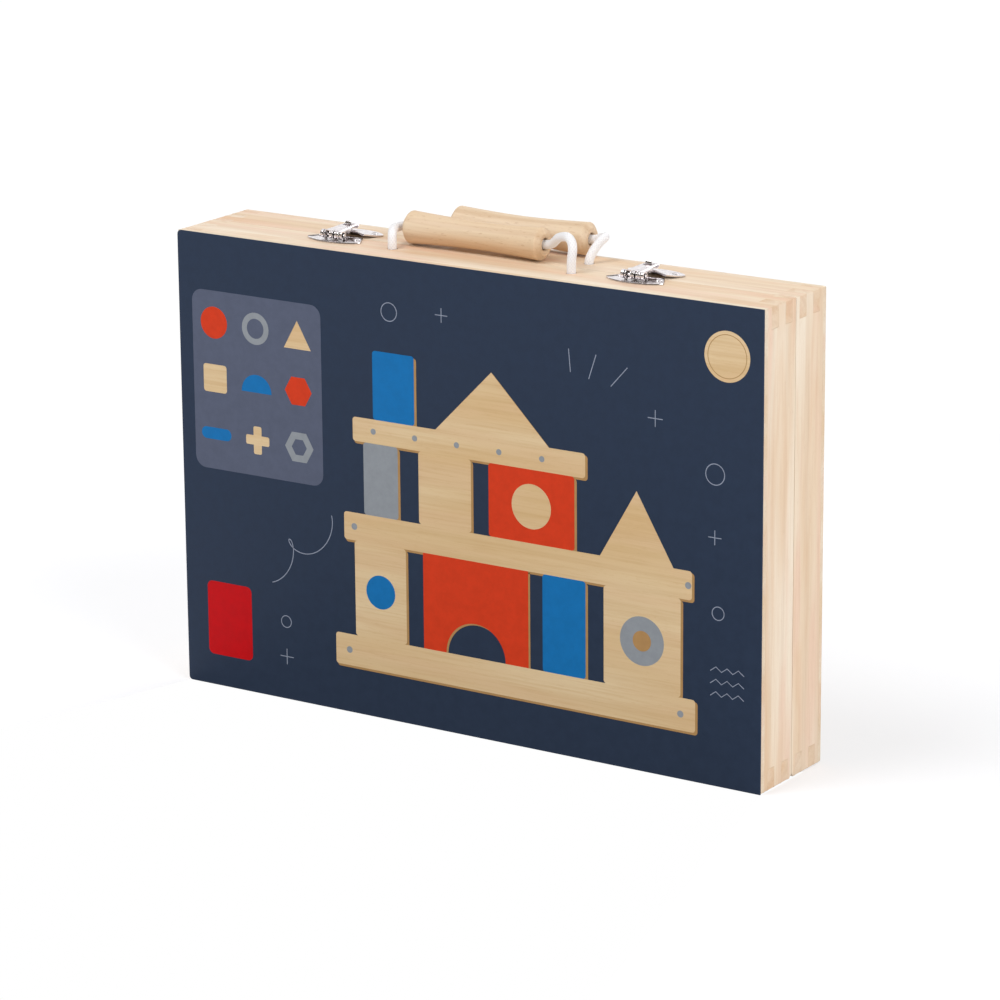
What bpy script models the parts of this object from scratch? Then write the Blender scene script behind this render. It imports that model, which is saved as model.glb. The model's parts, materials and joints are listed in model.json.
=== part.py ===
"""A toy tool box: a wooden case in two hinged halves, with latches, cord handles and a set of wooden tools inside.

Metres, +Z up, +X to the right of someone facing the printed front. The closed case stands on its hinged edge.
"""

import math

import bmesh
import bpy
from mathutils import Matrix, Vector

mm = 0.001

# Case
board_thickness = 10.5 * mm
panel_thickness = 3 * mm
card_thickness = 0.8 * mm
card_corner_radius = 2 * mm
seam_gap = 0.4 * mm
glue_line = 0.05 * mm
finger_width = 6.3 * mm
overrun = 2 * mm
rest_gap = 0.3 * mm

# Hinges, let into the lower rims
hinge_spacing = 184 * mm
hinge_length = 30 * mm
hinge_pin_radius = 0.72 * mm
hinge_bore_radius = 0.8 * mm
hinge_barrel_radius = 1.5 * mm
leaf_thickness = 0.9 * mm
leaf_height = 6.2 * mm
leaf_gap = 0.1 * mm
knuckle_gap = 0.2 * mm
barrel_clearance = 0.35 * mm
edge_relief = 2.2 * mm

# Latches, on top over the seam
latch_spacing = 170 * mm
latch_plate_width = 31 * mm
latch_plate_neck = 21 * mm
latch_plate_depth = 15.5 * mm
latch_tip_setback = 9.6 * mm
latch_plate_thickness = 0.8 * mm
latch_pin_setback = 10.5 * mm
latch_pin_height = 3.2 * mm
latch_pin_radius = 0.72 * mm
latch_bore_radius = 0.8 * mm
latch_barrel_radius = 2.1 * mm
hasp_width = 8.6 * mm
hasp_thickness = 0.9 * mm
hasp_reach = 16.5 * mm
hasp_lip = 2.6 * mm
hasp_slot_width = 5.6 * mm
hasp_slot_length = 4 * mm
ear_width = 1.6 * mm
ear_gap = 0.25 * mm
tongue_width = 4.4 * mm
tongue_thickness = 0.9 * mm
tongue_height = 7 * mm
tongue_setback = 2.7 * mm

# Handles: a turned grip on a cord that is knotted inside the case
cord_radius = 2.2 * mm
cord_hole_clearance = 0.4 * mm
knot_radius = 6.2 * mm
knot_length = 11 * mm
cord_joint_gap = 1 * mm
cord_point_spacing = 3.4 * mm
grip_radius = 8.2 * mm
grip_waist_radius = 7 * mm
grip_bore_radius = 2.9 * mm
grip_end_round = 2.2 * mm
grip_stations = 8
grip_point_spacing = 4.2 * mm
hole_spacing = 101.2 * mm
front_hole_shift = 0 * mm
front_hole_depth = 19 * mm
front_cord_rise = 8 * mm
front_grip_length = 75 * mm
front_grip_shift = -10.5 * mm
front_grip_depth = 32.4 * mm
rear_hole_shift = -3.6 * mm
rear_hole_depth = 40.1 * mm
rear_cord_rise = 11 * mm
rear_grip_length = 75 * mm
rear_grip_shift = 2.5 * mm
rear_grip_depth = 53.4 * mm

# Turn bars that hold the tools down, each on a post
bar_width = 13 * mm
bar_thickness = 7 * mm
bar_end_round = 1.5 * mm
bar_clearance = 0.3 * mm
bar_screw_radius = 1.5 * mm
bar_screw_head_radius = 3 * mm
bar_screw_head_height = 1.6 * mm
bar_screw_foot = 8 * mm
bar_post_clearance = 0.3 * mm
bar_seam_clearance = 0.1 * mm
bar_bore_clearance = 0.08 * mm
lid_bar_gap = 17.2 * mm
lid_left_pivot_gap = 24.5 * mm
lid_left_bar_right_arm = 34 * mm
lid_left_bar_gap = 6 * mm
lid_left_post_width = 15 * mm
lid_right_pivot_gap = 13 * mm
lid_right_bar_left_arm = 51 * mm
lid_right_bar_gap = 12.5 * mm
lid_right_post_width = 26 * mm
lid_block_gap = 10.5 * mm
lid_block_width = 36 * mm
base_left_pivot_gap = 5 * mm
base_left_bar_arms = (28 * mm, 28 * mm)
base_right_pivot_gap = 9 * mm
base_right_bar_left_arm = 29 * mm
base_bar_gap = 3 * mm
base_left_post_width = 18 * mm
base_right_post_width = 25 * mm
base_post_depth = 15 * mm
stop_block_width = 16 * mm
stop_block_depth = 22 * mm
stop_block_thickness = 16 * mm
stop_block_gap = 3 * mm
stop_block_rise = 9.5 * mm

# Square
square_stock_length = 103 * mm
square_stock_width = 35 * mm
square_stock_thickness = 20 * mm
square_blade_length = 168 * mm
square_blade_width = 29 * mm
square_blade_thickness = 6 * mm
square_blade_gap = 2 * mm
square_lap_shift = 2 * mm
square_lap = 16 * mm
square_foot_gap = 1 * mm
square_lap_clearance = 0.15 * mm

# Adjustable wrench
wrench_length = 135 * mm
wrench_width = 47 * mm
wrench_thickness = 15 * mm
wrench_shaft_width = 21 * mm
wrench_hole_radius = 4.5 * mm
wrench_jaw_width = 8 * mm
wrench_jaw_depth = 15 * mm
wrench_gap = 1 * mm
wrench_foot_gap = 1.5 * mm
wrench_tilt = math.radians(3)
wrench_softness = 8 * mm

# Screwdriver
screwdriver_gap = 1 * mm
screwdriver_foot_gap = 1.5 * mm
screwdriver_handle_length = 88 * mm
screwdriver_handle_radius = 11.6 * mm
screwdriver_neck_radius = 8.2 * mm
screwdriver_collar_radius = 11.2 * mm
screwdriver_blade_length = 80 * mm
screwdriver_blade_width = 16 * mm
screwdriver_blade_thickness = 7 * mm
screwdriver_socket_depth = 6 * mm
socket_clearance = 0.1 * mm

# Open and ring spanner
spanner_length = 184 * mm
spanner_head_radius = 17 * mm
spanner_ring_radius = 16.5 * mm
spanner_shaft_width = 20 * mm
spanner_thickness = 15 * mm
spanner_jaw_width = 15 * mm
spanner_jaw_depth = 17 * mm
spanner_hex_radius = 11 * mm
spanner_gap = 18.4 * mm
spanner_foot_gap = 4.5 * mm
spanner_tilt = math.radians(3.2)

# Saw
saw_blade_length = 125 * mm
saw_blade_width = 62 * mm
saw_blade_tip_width = 31 * mm
saw_blade_thickness = 6 * mm
saw_tooth_pitch = 9 * mm
saw_tooth_depth = 2.2 * mm
saw_handle_width = 83 * mm
saw_handle_height = 66 * mm
saw_handle_thickness = 15 * mm
saw_tenon = 14 * mm
saw_tenon_width = 57 * mm
saw_gap = 6 * mm
saw_side_gap = 2 * mm
saw_top_gap = 7.2 * mm
saw_foot_gap = 3 * mm
saw_softness = 6 * mm

# Hammer
hammer_gap = 10.5 * mm
hammer_foot_gap = 3.5 * mm
hammer_head_width = 87 * mm
hammer_head_height = 46 * mm
hammer_head_thickness = 19 * mm
hammer_shaft_radius = 5.5 * mm
hammer_head_bore_clearance = 0.1 * mm
hammer_grip_radius = 11.5 * mm
hammer_grip_neck_radius = 8.5 * mm
hammer_grip_length = 74 * mm
hammer_bar_gap = 3 * mm
hammer_knot_gap = 5.2 * mm
hammer_grip_socket = 30 * mm
hammer_softness = 4 * mm

# Pliers
pliers_thickness = 12 * mm
pliers_pin_radius = 3 * mm
pliers_pin_clearance = 0.1 * mm
pliers_jaw_gap = 0.6 * mm
pliers_lap_clearance = 0.4 * mm
pliers_softness = 8 * mm
wooden_pliers_gap = 6.5 * mm
wooden_pliers_pivot_drop = 5.5 * mm
wooden_pliers_boss_radius = 14 * mm
wooden_pliers_jaw_length = 54 * mm
wooden_pliers_jaw_width = 25 * mm
wooden_pliers_handle_length = 84 * mm
wooden_pliers_handle_width = 17 * mm
red_pliers_gap = 7.5 * mm
red_pliers_foot_gap = 8 * mm
red_pliers_pivot_drop = 7.5 * mm
red_pliers_boss_radius = 14 * mm
red_pliers_jaw_length = 44 * mm
red_pliers_jaw_width = 17 * mm
red_pliers_handle_length = 86 * mm
red_pliers_handle_width = 24 * mm

# Drill
drill_gap = 17 * mm
drill_side_gap = 2.5 * mm
drill_foot_gap = 9.2 * mm
drill_knot_gap = 6.2 * mm
drill_body_length = 122 * mm
drill_body_reach = 108 * mm
drill_barrel_width = 43 * mm
drill_grip_width = 34 * mm
drill_thickness = 22 * mm
drill_spindle_radius = 4 * mm
drill_spindle_length = 14 * mm
drill_spindle_clearance = 0.08 * mm
drill_chuck_radius = 9 * mm
drill_chuck_length = 16 * mm
drill_bit_radius = 4.2 * mm
drill_bit_length = 44 * mm
drill_side_grip_length = 62 * mm
drill_side_grip_radius = 11 * mm
drill_side_grip_neck_radius = 8.6 * mm
drill_side_grip_setback = 12.5 * mm
drill_peg_radius = 4.5 * mm
drill_peg_length = 12 * mm
drill_trigger_length = 20 * mm
drill_trigger_reach = 11 * mm
drill_trigger_thickness = 12 * mm
drill_trigger_tenon = 7 * mm
drill_softness = 9 * mm

fine_steps = 32
steps = 24
coarse_steps = 16

# Places that follow from the sizes: the front face is at front_y, and the origin is under the middle of the box

# The front half's tools, each beside the last, from the right end and from the hinged edge
square_foot = board_thickness + square_foot_gap
square_blade_from_right = board_thickness + square_blade_gap + square_blade_width / 2
square_stock_from_right = square_blade_from_right - square_lap_shift + square_stock_length / 2
lid_left_pivot = square_blade_from_right + square_blade_width / 2 + lid_left_pivot_gap + lid_left_post_width / 2
wrench_from_right = lid_left_pivot + lid_left_post_width / 2 + wrench_gap + wrench_shaft_width / 2
wrench_foot = square_foot + square_stock_width + wrench_foot_gap
lid_block_from_right = wrench_from_right + wrench_shaft_width / 2 + lid_block_gap + lid_block_width / 2
screwdriver_from_right = (
    lid_block_from_right + lid_block_width / 2 + screwdriver_gap + screwdriver_blade_width / 2
)
screwdriver_foot = board_thickness + screwdriver_foot_gap
lid_bar_height = screwdriver_foot + screwdriver_handle_length + lid_bar_gap + bar_width / 2
spanner_from_right = screwdriver_from_right + screwdriver_handle_radius + spanner_gap + spanner_ring_radius
spanner_foot = board_thickness + spanner_foot_gap
lid_right_pivot = spanner_from_right + spanner_shaft_width / 2 + lid_right_pivot_gap + lid_right_post_width / 2
lid_left_bar_arms = (
    lid_left_bar_right_arm,
    lid_block_from_right - lid_block_width / 2 - lid_left_bar_gap - lid_left_pivot,
)
lid_right_bar_arms = (
    lid_right_pivot - lid_block_from_right - lid_block_width / 2 - lid_right_bar_gap,
    lid_right_bar_left_arm,
)
saw_foot = board_thickness + saw_foot_gap
saw_blade_foot = saw_foot + saw_handle_height
saw_taper = (saw_blade_width - saw_blade_tip_width) / saw_blade_length
saw_width_at_bar = saw_blade_width - saw_taper * (lid_bar_height - saw_blade_foot)
saw_back_from_right = (
    lid_right_pivot + lid_right_post_width / 2 + saw_gap + saw_width_at_bar + saw_blade_thickness / 2
)
saw_top = saw_blade_foot + saw_blade_length + saw_blade_tip_width / 4

# The rear half's tools
hammer_foot = board_thickness + hammer_foot_gap
red_pliers_pivot_height = hammer_foot + hammer_head_height + red_pliers_foot_gap + red_pliers_jaw_length
base_bar_height = red_pliers_pivot_height + red_pliers_pivot_drop
wooden_pliers_pivot_height = base_bar_height - wooden_pliers_pivot_drop
wooden_pliers_from_right = board_thickness + wooden_pliers_gap + wooden_pliers_jaw_width
base_left_pivot = (
    wooden_pliers_from_right + wooden_pliers_boss_radius + base_left_pivot_gap + base_left_post_width / 2
)
hammer_from_right = base_left_pivot + base_left_post_width / 2 + hammer_gap + hammer_grip_radius
hammer_top = base_bar_height + bar_width / 2 + hammer_bar_gap + hammer_grip_length
base_right_pivot = hammer_from_right + hammer_grip_radius + base_right_pivot_gap + base_right_post_width / 2
base_right_bar_arms = (
    base_right_pivot - base_left_pivot - base_left_bar_arms[1] - base_bar_gap,
    base_right_bar_left_arm,
)
red_pliers_from_right = (
    base_right_pivot + base_right_post_width / 2 + red_pliers_gap + red_pliers_boss_radius
)
stop_block_from_right = (
    red_pliers_from_right + red_pliers_handle_width + stop_block_gap + stop_block_width / 2
)
stop_block_height = base_bar_height + stop_block_rise
drill_back_from_right = red_pliers_from_right + red_pliers_handle_width + drill_gap + drill_body_reach
drill_nose_height = board_thickness + drill_foot_gap + drill_bit_length + rest_gap + drill_chuck_length

# The case goes round its tools
bar_post_height = rest_gap + hammer_grip_radius + hammer_shaft_radius + bar_post_clearance
board_depth = bar_post_height + bar_clearance + bar_thickness + bar_seam_clearance
case_width = board_thickness + max(drill_back_from_right + drill_side_gap, saw_back_from_right + saw_side_gap)
knot_room = knot_length + rest_gap
case_height = board_thickness + max(
    saw_top + saw_top_gap,
    hammer_top + hammer_knot_gap + knot_room,
    drill_nose_height + drill_body_length + drill_knot_gap + knot_room,
)
half_depth = panel_thickness + glue_line + board_depth
case_depth = card_thickness + glue_line + 2 * half_depth + seam_gap
front_y = -max(case_depth, rear_grip_depth + grip_radius) / 2
lid_floor_y = front_y + card_thickness + glue_line + panel_thickness
base_floor_y = front_y + case_depth - panel_thickness
seam_y = front_y + card_thickness + glue_line + half_depth + seam_gap / 2
hinge_axis_z = hinge_barrel_radius
latch_axis_y = seam_y - latch_pin_setback
latch_axis_z = case_height + latch_pin_height
grip_axis_z = case_height + grip_radius + rest_gap


def new_collection(name):
    collection = bpy.data.collections.new(name)
    bpy.context.scene.collection.children.link(collection)
    return collection


def material(name, colour, roughness, metallic=0.0):
    made = bpy.data.materials.new(name)
    made.use_nodes = True
    shader = made.node_tree.nodes["Principled BSDF"]
    shader.inputs["Base Color"].default_value = (*colour, 1)
    shader.inputs["Roughness"].default_value = roughness
    shader.inputs["Metallic"].default_value = metallic
    made.diffuse_color = (*colour, 1)
    return made


def add_object(name, mesh, look=None):
    """A linked object; without a look it is a cutter."""
    obj = bpy.data.objects.new(name, mesh)
    if look is None:
        cutters.objects.link(obj)
        obj.hide_render = True
        obj.display_type = "WIRE"
    else:
        parts.objects.link(obj)
        mesh.materials.clear()
        mesh.materials.append(material(name, *look))
    return obj


def box_mesh(name, spans):
    """A mesh of boxes, each given by its spans along X, Y and Z."""
    mesh = bpy.data.meshes.new(name)
    shape = bmesh.new()
    for x_span, y_span, z_span in spans:
        middle = Vector([sum(span) / 2 for span in (x_span, y_span, z_span)])
        size = [abs(span[1] - span[0]) for span in (x_span, y_span, z_span)]
        matrix = Matrix.Translation(middle) @ Matrix.Diagonal((*size, 1))
        bmesh.ops.create_cube(shape, size=1, matrix=matrix)
    shape.to_mesh(mesh)
    shape.free()
    return mesh


def box(name, x_span, y_span, z_span, look=None):
    return add_object(name, box_mesh(name, [(x_span, y_span, z_span)]), look)


def cylinder(name, radius, start, end, look=None, count=steps):
    """A cylinder between two points that differ along one axis."""
    mesh = bpy.data.meshes.new(name)
    shape = bmesh.new()
    start, end = Vector(start), Vector(end)
    turn = (end - start).to_track_quat("Z", "Y").to_matrix().to_4x4()
    bmesh.ops.create_cone(
        shape, cap_ends=True, segments=count, radius1=radius, radius2=radius,
        depth=(end - start).length, matrix=Matrix.Translation((start + end) / 2) @ turn,
    )
    shape.to_mesh(mesh)
    shape.free()
    obj = add_object(name, mesh, look)
    smooth(obj)
    return obj


def smooth(obj):
    obj.data.shade_smooth()
    obj.data.set_sharp_from_angle(angle=math.radians(35))


def turned(name, profile, foot, direction, look=None, count=steps):
    """A turned piece: (radius, distance from the foot) pairs from its far end down the outside to the foot."""
    mesh = bpy.data.meshes.new(name)
    shape = bmesh.new()
    points = [shape.verts.new((radius, 0, distance)) for radius, distance in profile]
    for first, second in zip(points, points[1:]):
        shape.edges.new((first, second))
    if profile[0][0] > 0:
        shape.edges.new((points[-1], points[0]))
    shape.to_mesh(mesh)
    shape.free()
    obj = add_object(name, mesh, look)
    turn = Vector(direction).to_track_quat("Z", "Y").to_matrix().to_4x4()
    obj.matrix_world = Matrix.Translation(foot) @ turn
    screw = obj.modifiers.new("Turn", "SCREW")
    screw.steps = screw.render_steps = count
    screw.use_merge_vertices = True
    screw.merge_threshold = 0.00001
    screw.use_smooth_shade = True
    return obj


def solid_of(curve_object):
    """The curve object as a welded mesh object in the same place."""
    bpy.context.view_layer.update()
    graph = bpy.context.evaluated_depsgraph_get()
    mesh = bpy.data.meshes.new_from_object(curve_object.evaluated_get(graph))
    shape = bmesh.new()
    shape.from_mesh(mesh)
    bmesh.ops.remove_doubles(shape, verts=shape.verts, dist=0.000005)
    bmesh.ops.recalc_face_normals(shape, faces=shape.faces)
    shape.to_mesh(mesh)
    shape.free()
    mesh.transform(curve_object.matrix_world)
    bpy.data.objects.remove(curve_object)
    return mesh


def sheet_mesh(name, outlines, thickness, matrix):
    """A flat outline, with its holes as further outlines, thickened evenly to both sides of its plane."""
    data = bpy.data.curves.new(name, "CURVE")
    data.dimensions = "2D"
    data.fill_mode = "BOTH"
    data.extrude = thickness / 2
    for outline in outlines:
        spline = data.splines.new("POLY")
        spline.points.add(len(outline) - 1)
        for point, (u, v) in zip(spline.points, outline):
            point.co = (u, v, 0, 1)
        spline.use_cyclic_u = True
    obj = bpy.data.objects.new(name, data)
    bpy.context.scene.collection.objects.link(obj)
    obj.matrix_world = matrix
    return solid_of(obj)


def upright_sheet(name, outlines, y_span, look=None):
    """Outlines in X and Z, filling a span in Y."""
    matrix = Matrix.Translation((0, sum(y_span) / 2, 0)) @ Matrix.Rotation(math.pi / 2, 4, "X")
    return add_object(name, sheet_mesh(name, outlines, abs(y_span[1] - y_span[0]), matrix), look)


def side_sheet(name, outlines, x_span, look=None):
    """Outlines in Y and Z, filling a span in X."""
    turn = Matrix(((0, 0, 1, 0), (1, 0, 0, 0), (0, 1, 0, 0), (0, 0, 0, 1)))
    matrix = Matrix.Translation((sum(x_span) / 2, 0, 0)) @ turn
    return add_object(name, sheet_mesh(name, outlines, abs(x_span[1] - x_span[0]), matrix), look)


def level_sheet(name, outlines, z_span, look=None):
    """Outlines in X and Y, filling a span in Z."""
    matrix = Matrix.Translation((0, 0, sum(z_span) / 2))
    return add_object(name, sheet_mesh(name, outlines, abs(z_span[1] - z_span[0]), matrix), look)


def combine(obj, other, operation):
    modifier = obj.modifiers.new(operation.title() + " " + other.name, "BOOLEAN")
    modifier.operation = operation
    modifier.object = other
    return obj


def cut(obj, *others):
    for other in others:
        combine(obj, other, "DIFFERENCE")
    return obj


def join(obj, *others):
    for other in others:
        combine(obj, other, "UNION")
    return obj


def arc(centre, radius, start, end, count):
    """Points along an arc, angles in degrees."""
    turn = [math.radians(start + (end - start) * i / count) for i in range(count + 1)]
    return [(centre[0] + radius * math.cos(a), centre[1] + radius * math.sin(a)) for a in turn]


def circle(centre, radius, count=steps):
    return arc(centre, radius, 0, 360, count)[:-1]


def turned_points(points, pivot, angle):
    """Points of an outline turned about a pivot."""
    cosine, sine = math.cos(angle), math.sin(angle)
    return [
        (
            pivot[0] + (x - pivot[0]) * cosine - (z - pivot[1]) * sine,
            pivot[1] + (x - pivot[0]) * sine + (z - pivot[1]) * cosine,
        )
        for x, z in points
    ]


def soft_run(points, reach, closed=False, count=3):
    """A run of points with each corner replaced by a short curve; an open run keeps its two ends."""
    points = [Vector(point) for point in points]
    last = len(points) if closed else len(points) - 1
    run = [] if closed else [points[0]]
    for i in range(0 if closed else 1, last):
        corner, before, after = points[i], points[i - 1], points[(i + 1) % len(points)]
        start = corner.lerp(before, min(0.5, reach / (before - corner).length))
        end = corner.lerp(after, min(0.5, reach / (after - corner).length))
        for step in range(count + 1):
            t = step / count
            place = start * (1 - t) ** 2 + corner * 2 * t * (1 - t) + end * t**2
            if not run or (place - run[-1]).length > 0.05 * mm:
                run.append(place)
    if not closed:
        run.append(points[-1])
    return [tuple(point) for point in run]


def rounded_rectangle(x_span, z_span, radius, count=3):
    low_x, high_x = min(x_span), max(x_span)
    low_z, high_z = min(z_span), max(z_span)
    corners = [
        ((high_x - radius, high_z - radius), 0),
        ((low_x + radius, high_z - radius), 90),
        ((low_x + radius, low_z + radius), 180),
        ((high_x - radius, low_z + radius), 270),
    ]
    return [point for centre, start in corners for point in arc(centre, radius, start, start + 90, count)]


def from_right(distance):
    """X of a place given by its distance from the right end of the case."""
    return case_width / 2 - distance


def lid_span(low, high):
    """The Y span between two heights above the floor of the front half."""
    return (lid_floor_y + low, lid_floor_y + high)


def base_span(low, high):
    """The Y span between two heights above the floor of the rear half."""
    return (base_floor_y - high, base_floor_y - low)


# Looks: sRGB-like colours from the photograph, roughness, metallic
pale_wood = ((0.83, 0.66, 0.46), 0.55)
plywood = ((0.86, 0.74, 0.56), 0.6)
printed_card = ((0.034, 0.051, 0.078), 0.45)
nickel = ((0.62, 0.61, 0.58), 0.28, 1.0)
white_cord = ((0.88, 0.85, 0.88), 0.7)
red_paint = ((0.71, 0.038, 0.008), 0.4)
blue_paint = ((0.004, 0.18, 0.51), 0.4)
grey_paint = ((0.26, 0.28, 0.3), 0.4)
silver_paint = ((0.42, 0.43, 0.44), 0.35)


def board_y_span(front):
    """The Y span of the boards of one half."""
    if front:
        return (seam_y - seam_gap / 2 - board_depth, seam_y - seam_gap / 2)
    return (seam_y + seam_gap / 2, seam_y + seam_gap / 2 + board_depth)


def finger_spans(front):
    """The Y spans of the fingers that the long boards carry, and of the side boards' fingers between them."""
    low, high = board_y_span(front)
    inset = (board_depth - 3 * finger_width) / 2
    edges = [low - overrun, low + inset]
    edges += [low + inset + finger_width * i for i in (1, 2, 3)]
    edges.append(high + overrun)
    spans = list(zip(edges, edges[1:]))
    return spans[1::2], spans[0::2]


def add_boards(side, front):
    """The four boards of one half, with finger joints at the corners."""
    y_span = board_y_span(front)
    long_fingers, side_fingers = finger_spans(front)
    half_width = case_width / 2
    inner = half_width - board_thickness
    boards = {}
    for name, z_span in (
        ("bottom", (0, board_thickness)),
        ("top", (case_height - board_thickness, case_height)),
    ):
        board = box(f"{side}_{name}_board", (-half_width, half_width), y_span, z_span, pale_wood)
        notches = [
            (
                (sign * (inner - glue_line), sign * (half_width + overrun)),
                (span[0] - glue_line, span[1] + glue_line),
                (z_span[0] - overrun, z_span[1] + overrun),
            )
            for sign in (-1, 1)
            for span in side_fingers
        ]
        notch = add_object(f"{side}_{name}_notches", box_mesh(f"{side}_{name}_notches", notches))
        boards[name] = cut(board, notch)
    for name, sign in (("left", -1), ("right", 1)):
        x_span = (sign * inner, sign * half_width)
        board = box(f"{side}_{name}_board", x_span, y_span, (0, case_height), pale_wood)
        notches = [
            ((sign * (inner - overrun), sign * (half_width + overrun)), span, z_span)
            for z_span in (
                (-overrun, board_thickness + glue_line),
                (case_height - board_thickness - glue_line, case_height + overrun),
            )
            for span in long_fingers
        ]
        notch = add_object(f"{side}_{name}_notches", box_mesh(f"{side}_{name}_notches", notches))
        boards[name] = cut(board, notch)
    return boards


def add_edge_relief(boards):
    """A chamfer along both lower seam edges, so that the halves turn about pins that sit above the ground."""
    reach = edge_relief * math.sqrt(2) / 2
    relief = box(
        "edge_relief",
        (-case_width / 2 - overrun, case_width / 2 + overrun),
        (-reach, reach),
        (-reach, reach),
    )
    relief.matrix_world = Matrix.Translation((0, seam_y, 0)) @ Matrix.Rotation(math.pi / 4, 4, "X")
    for board in boards:
        cut(board, relief)


def add_panels():
    half_width = case_width / 2
    for side, y_span in (
        ("front", (lid_floor_y - panel_thickness, lid_floor_y)),
        ("rear", (base_floor_y, base_floor_y + panel_thickness)),
    ):
        box(f"{side}_panel", (-half_width, half_width), y_span, (0, case_height), plywood)
    round_end = card_corner_radius
    outline = [(half_width, 0), (half_width, case_height)]
    outline += arc((round_end - half_width, case_height - round_end), round_end, 90, 180, 4)
    outline += arc((round_end - half_width, round_end), round_end, 180, 270, 4)
    upright_sheet("front_card", [outline], (front_y, front_y + card_thickness), printed_card)


def add_hinge(side, x, front_board, rear_board):
    """A butt hinge between the lower rims: two leaves let into the boards, and a pin."""
    leaf_low = hinge_axis_z + hinge_barrel_radius + barrel_clearance
    leaf_high = leaf_low + leaf_height
    third = hinge_length / 3
    knuckle_half = third / 2 - knuckle_gap / 2
    outer = (third / 2 + knuckle_gap / 2, hinge_length / 2)
    y_near, y_far = leaf_gap / 2, leaf_gap / 2 + leaf_thickness
    bore = cylinder(
        f"{side}_hinge_bore", hinge_bore_radius,
        (x - hinge_length, seam_y, hinge_axis_z), (x + hinge_length, seam_y, hinge_axis_z),
    )
    for half, sign, knuckles in (
        ("front", -1, [(-outer[1], -outer[0]), outer]),
        ("rear", 1, [(-knuckle_half, knuckle_half)]),
    ):
        y_span = (seam_y + sign * y_near, seam_y + sign * y_far)
        leaf = box(
            f"{side}_hinge_{half}_leaf",
            (x - hinge_length / 2, x + hinge_length / 2), y_span, (leaf_low, leaf_high), nickel,
        )
        for index, span in enumerate(knuckles):
            # The barrel of a knuckle, with its neck up to the leaf
            far_turn, near_turn = [math.degrees(math.asin(y / hinge_barrel_radius)) for y in (y_far, y_near)]
            ring = arc((0, 0), hinge_barrel_radius, 90 - far_turn, -270 - near_turn, steps)
            neck_top = leaf_low + leaf_height / 4 - hinge_axis_z
            neck = [(y_near, neck_top), (y_far, neck_top)]
            outline = [(seam_y + sign * y, hinge_axis_z + z) for y, z in ring + neck]
            knuckle = side_sheet(f"{side}_{half}_knuckle_{index}", [outline], (x + span[0], x + span[1]))
            join(leaf, knuckle)
        cut(leaf, bore)
    pin = cylinder(
        f"{side}_hinge_pin", hinge_pin_radius,
        (x - hinge_length / 2, seam_y, hinge_axis_z), (x + hinge_length / 2, seam_y, hinge_axis_z), nickel,
    )
    barrel_room = cylinder(
        f"{side}_barrel_room", hinge_barrel_radius + barrel_clearance,
        (x - hinge_length / 2 - rest_gap, seam_y, hinge_axis_z),
        (x + hinge_length / 2 + rest_gap, seam_y, hinge_axis_z),
    )
    leaf_room = box(
        f"{side}_leaf_room",
        (x - hinge_length / 2 - rest_gap, x + hinge_length / 2 + rest_gap),
        (seam_y - y_far - glue_line, seam_y + y_far + glue_line),
        (hinge_axis_z, leaf_high + rest_gap),
    )
    for board in (front_board, rear_board):
        cut(board, barrel_room, leaf_room)
    return pin


def plate_outline(x, front):
    """A plate that widens from the seam to two tips and ends in a round outer edge."""
    sign = -1 if front else 1
    half, neck = latch_plate_width / 2, latch_plate_neck / 2
    rise = latch_plate_depth - latch_tip_setback
    points = [(x + neck, seam_y + sign * seam_gap)]
    for u, v in arc((0, 0), 1, 0, 180, coarse_steps):
        points.append((x + half * u, seam_y + sign * (latch_tip_setback + rise * max(v, 0))))
    return points + [(x - neck, seam_y + sign * seam_gap)]


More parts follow.
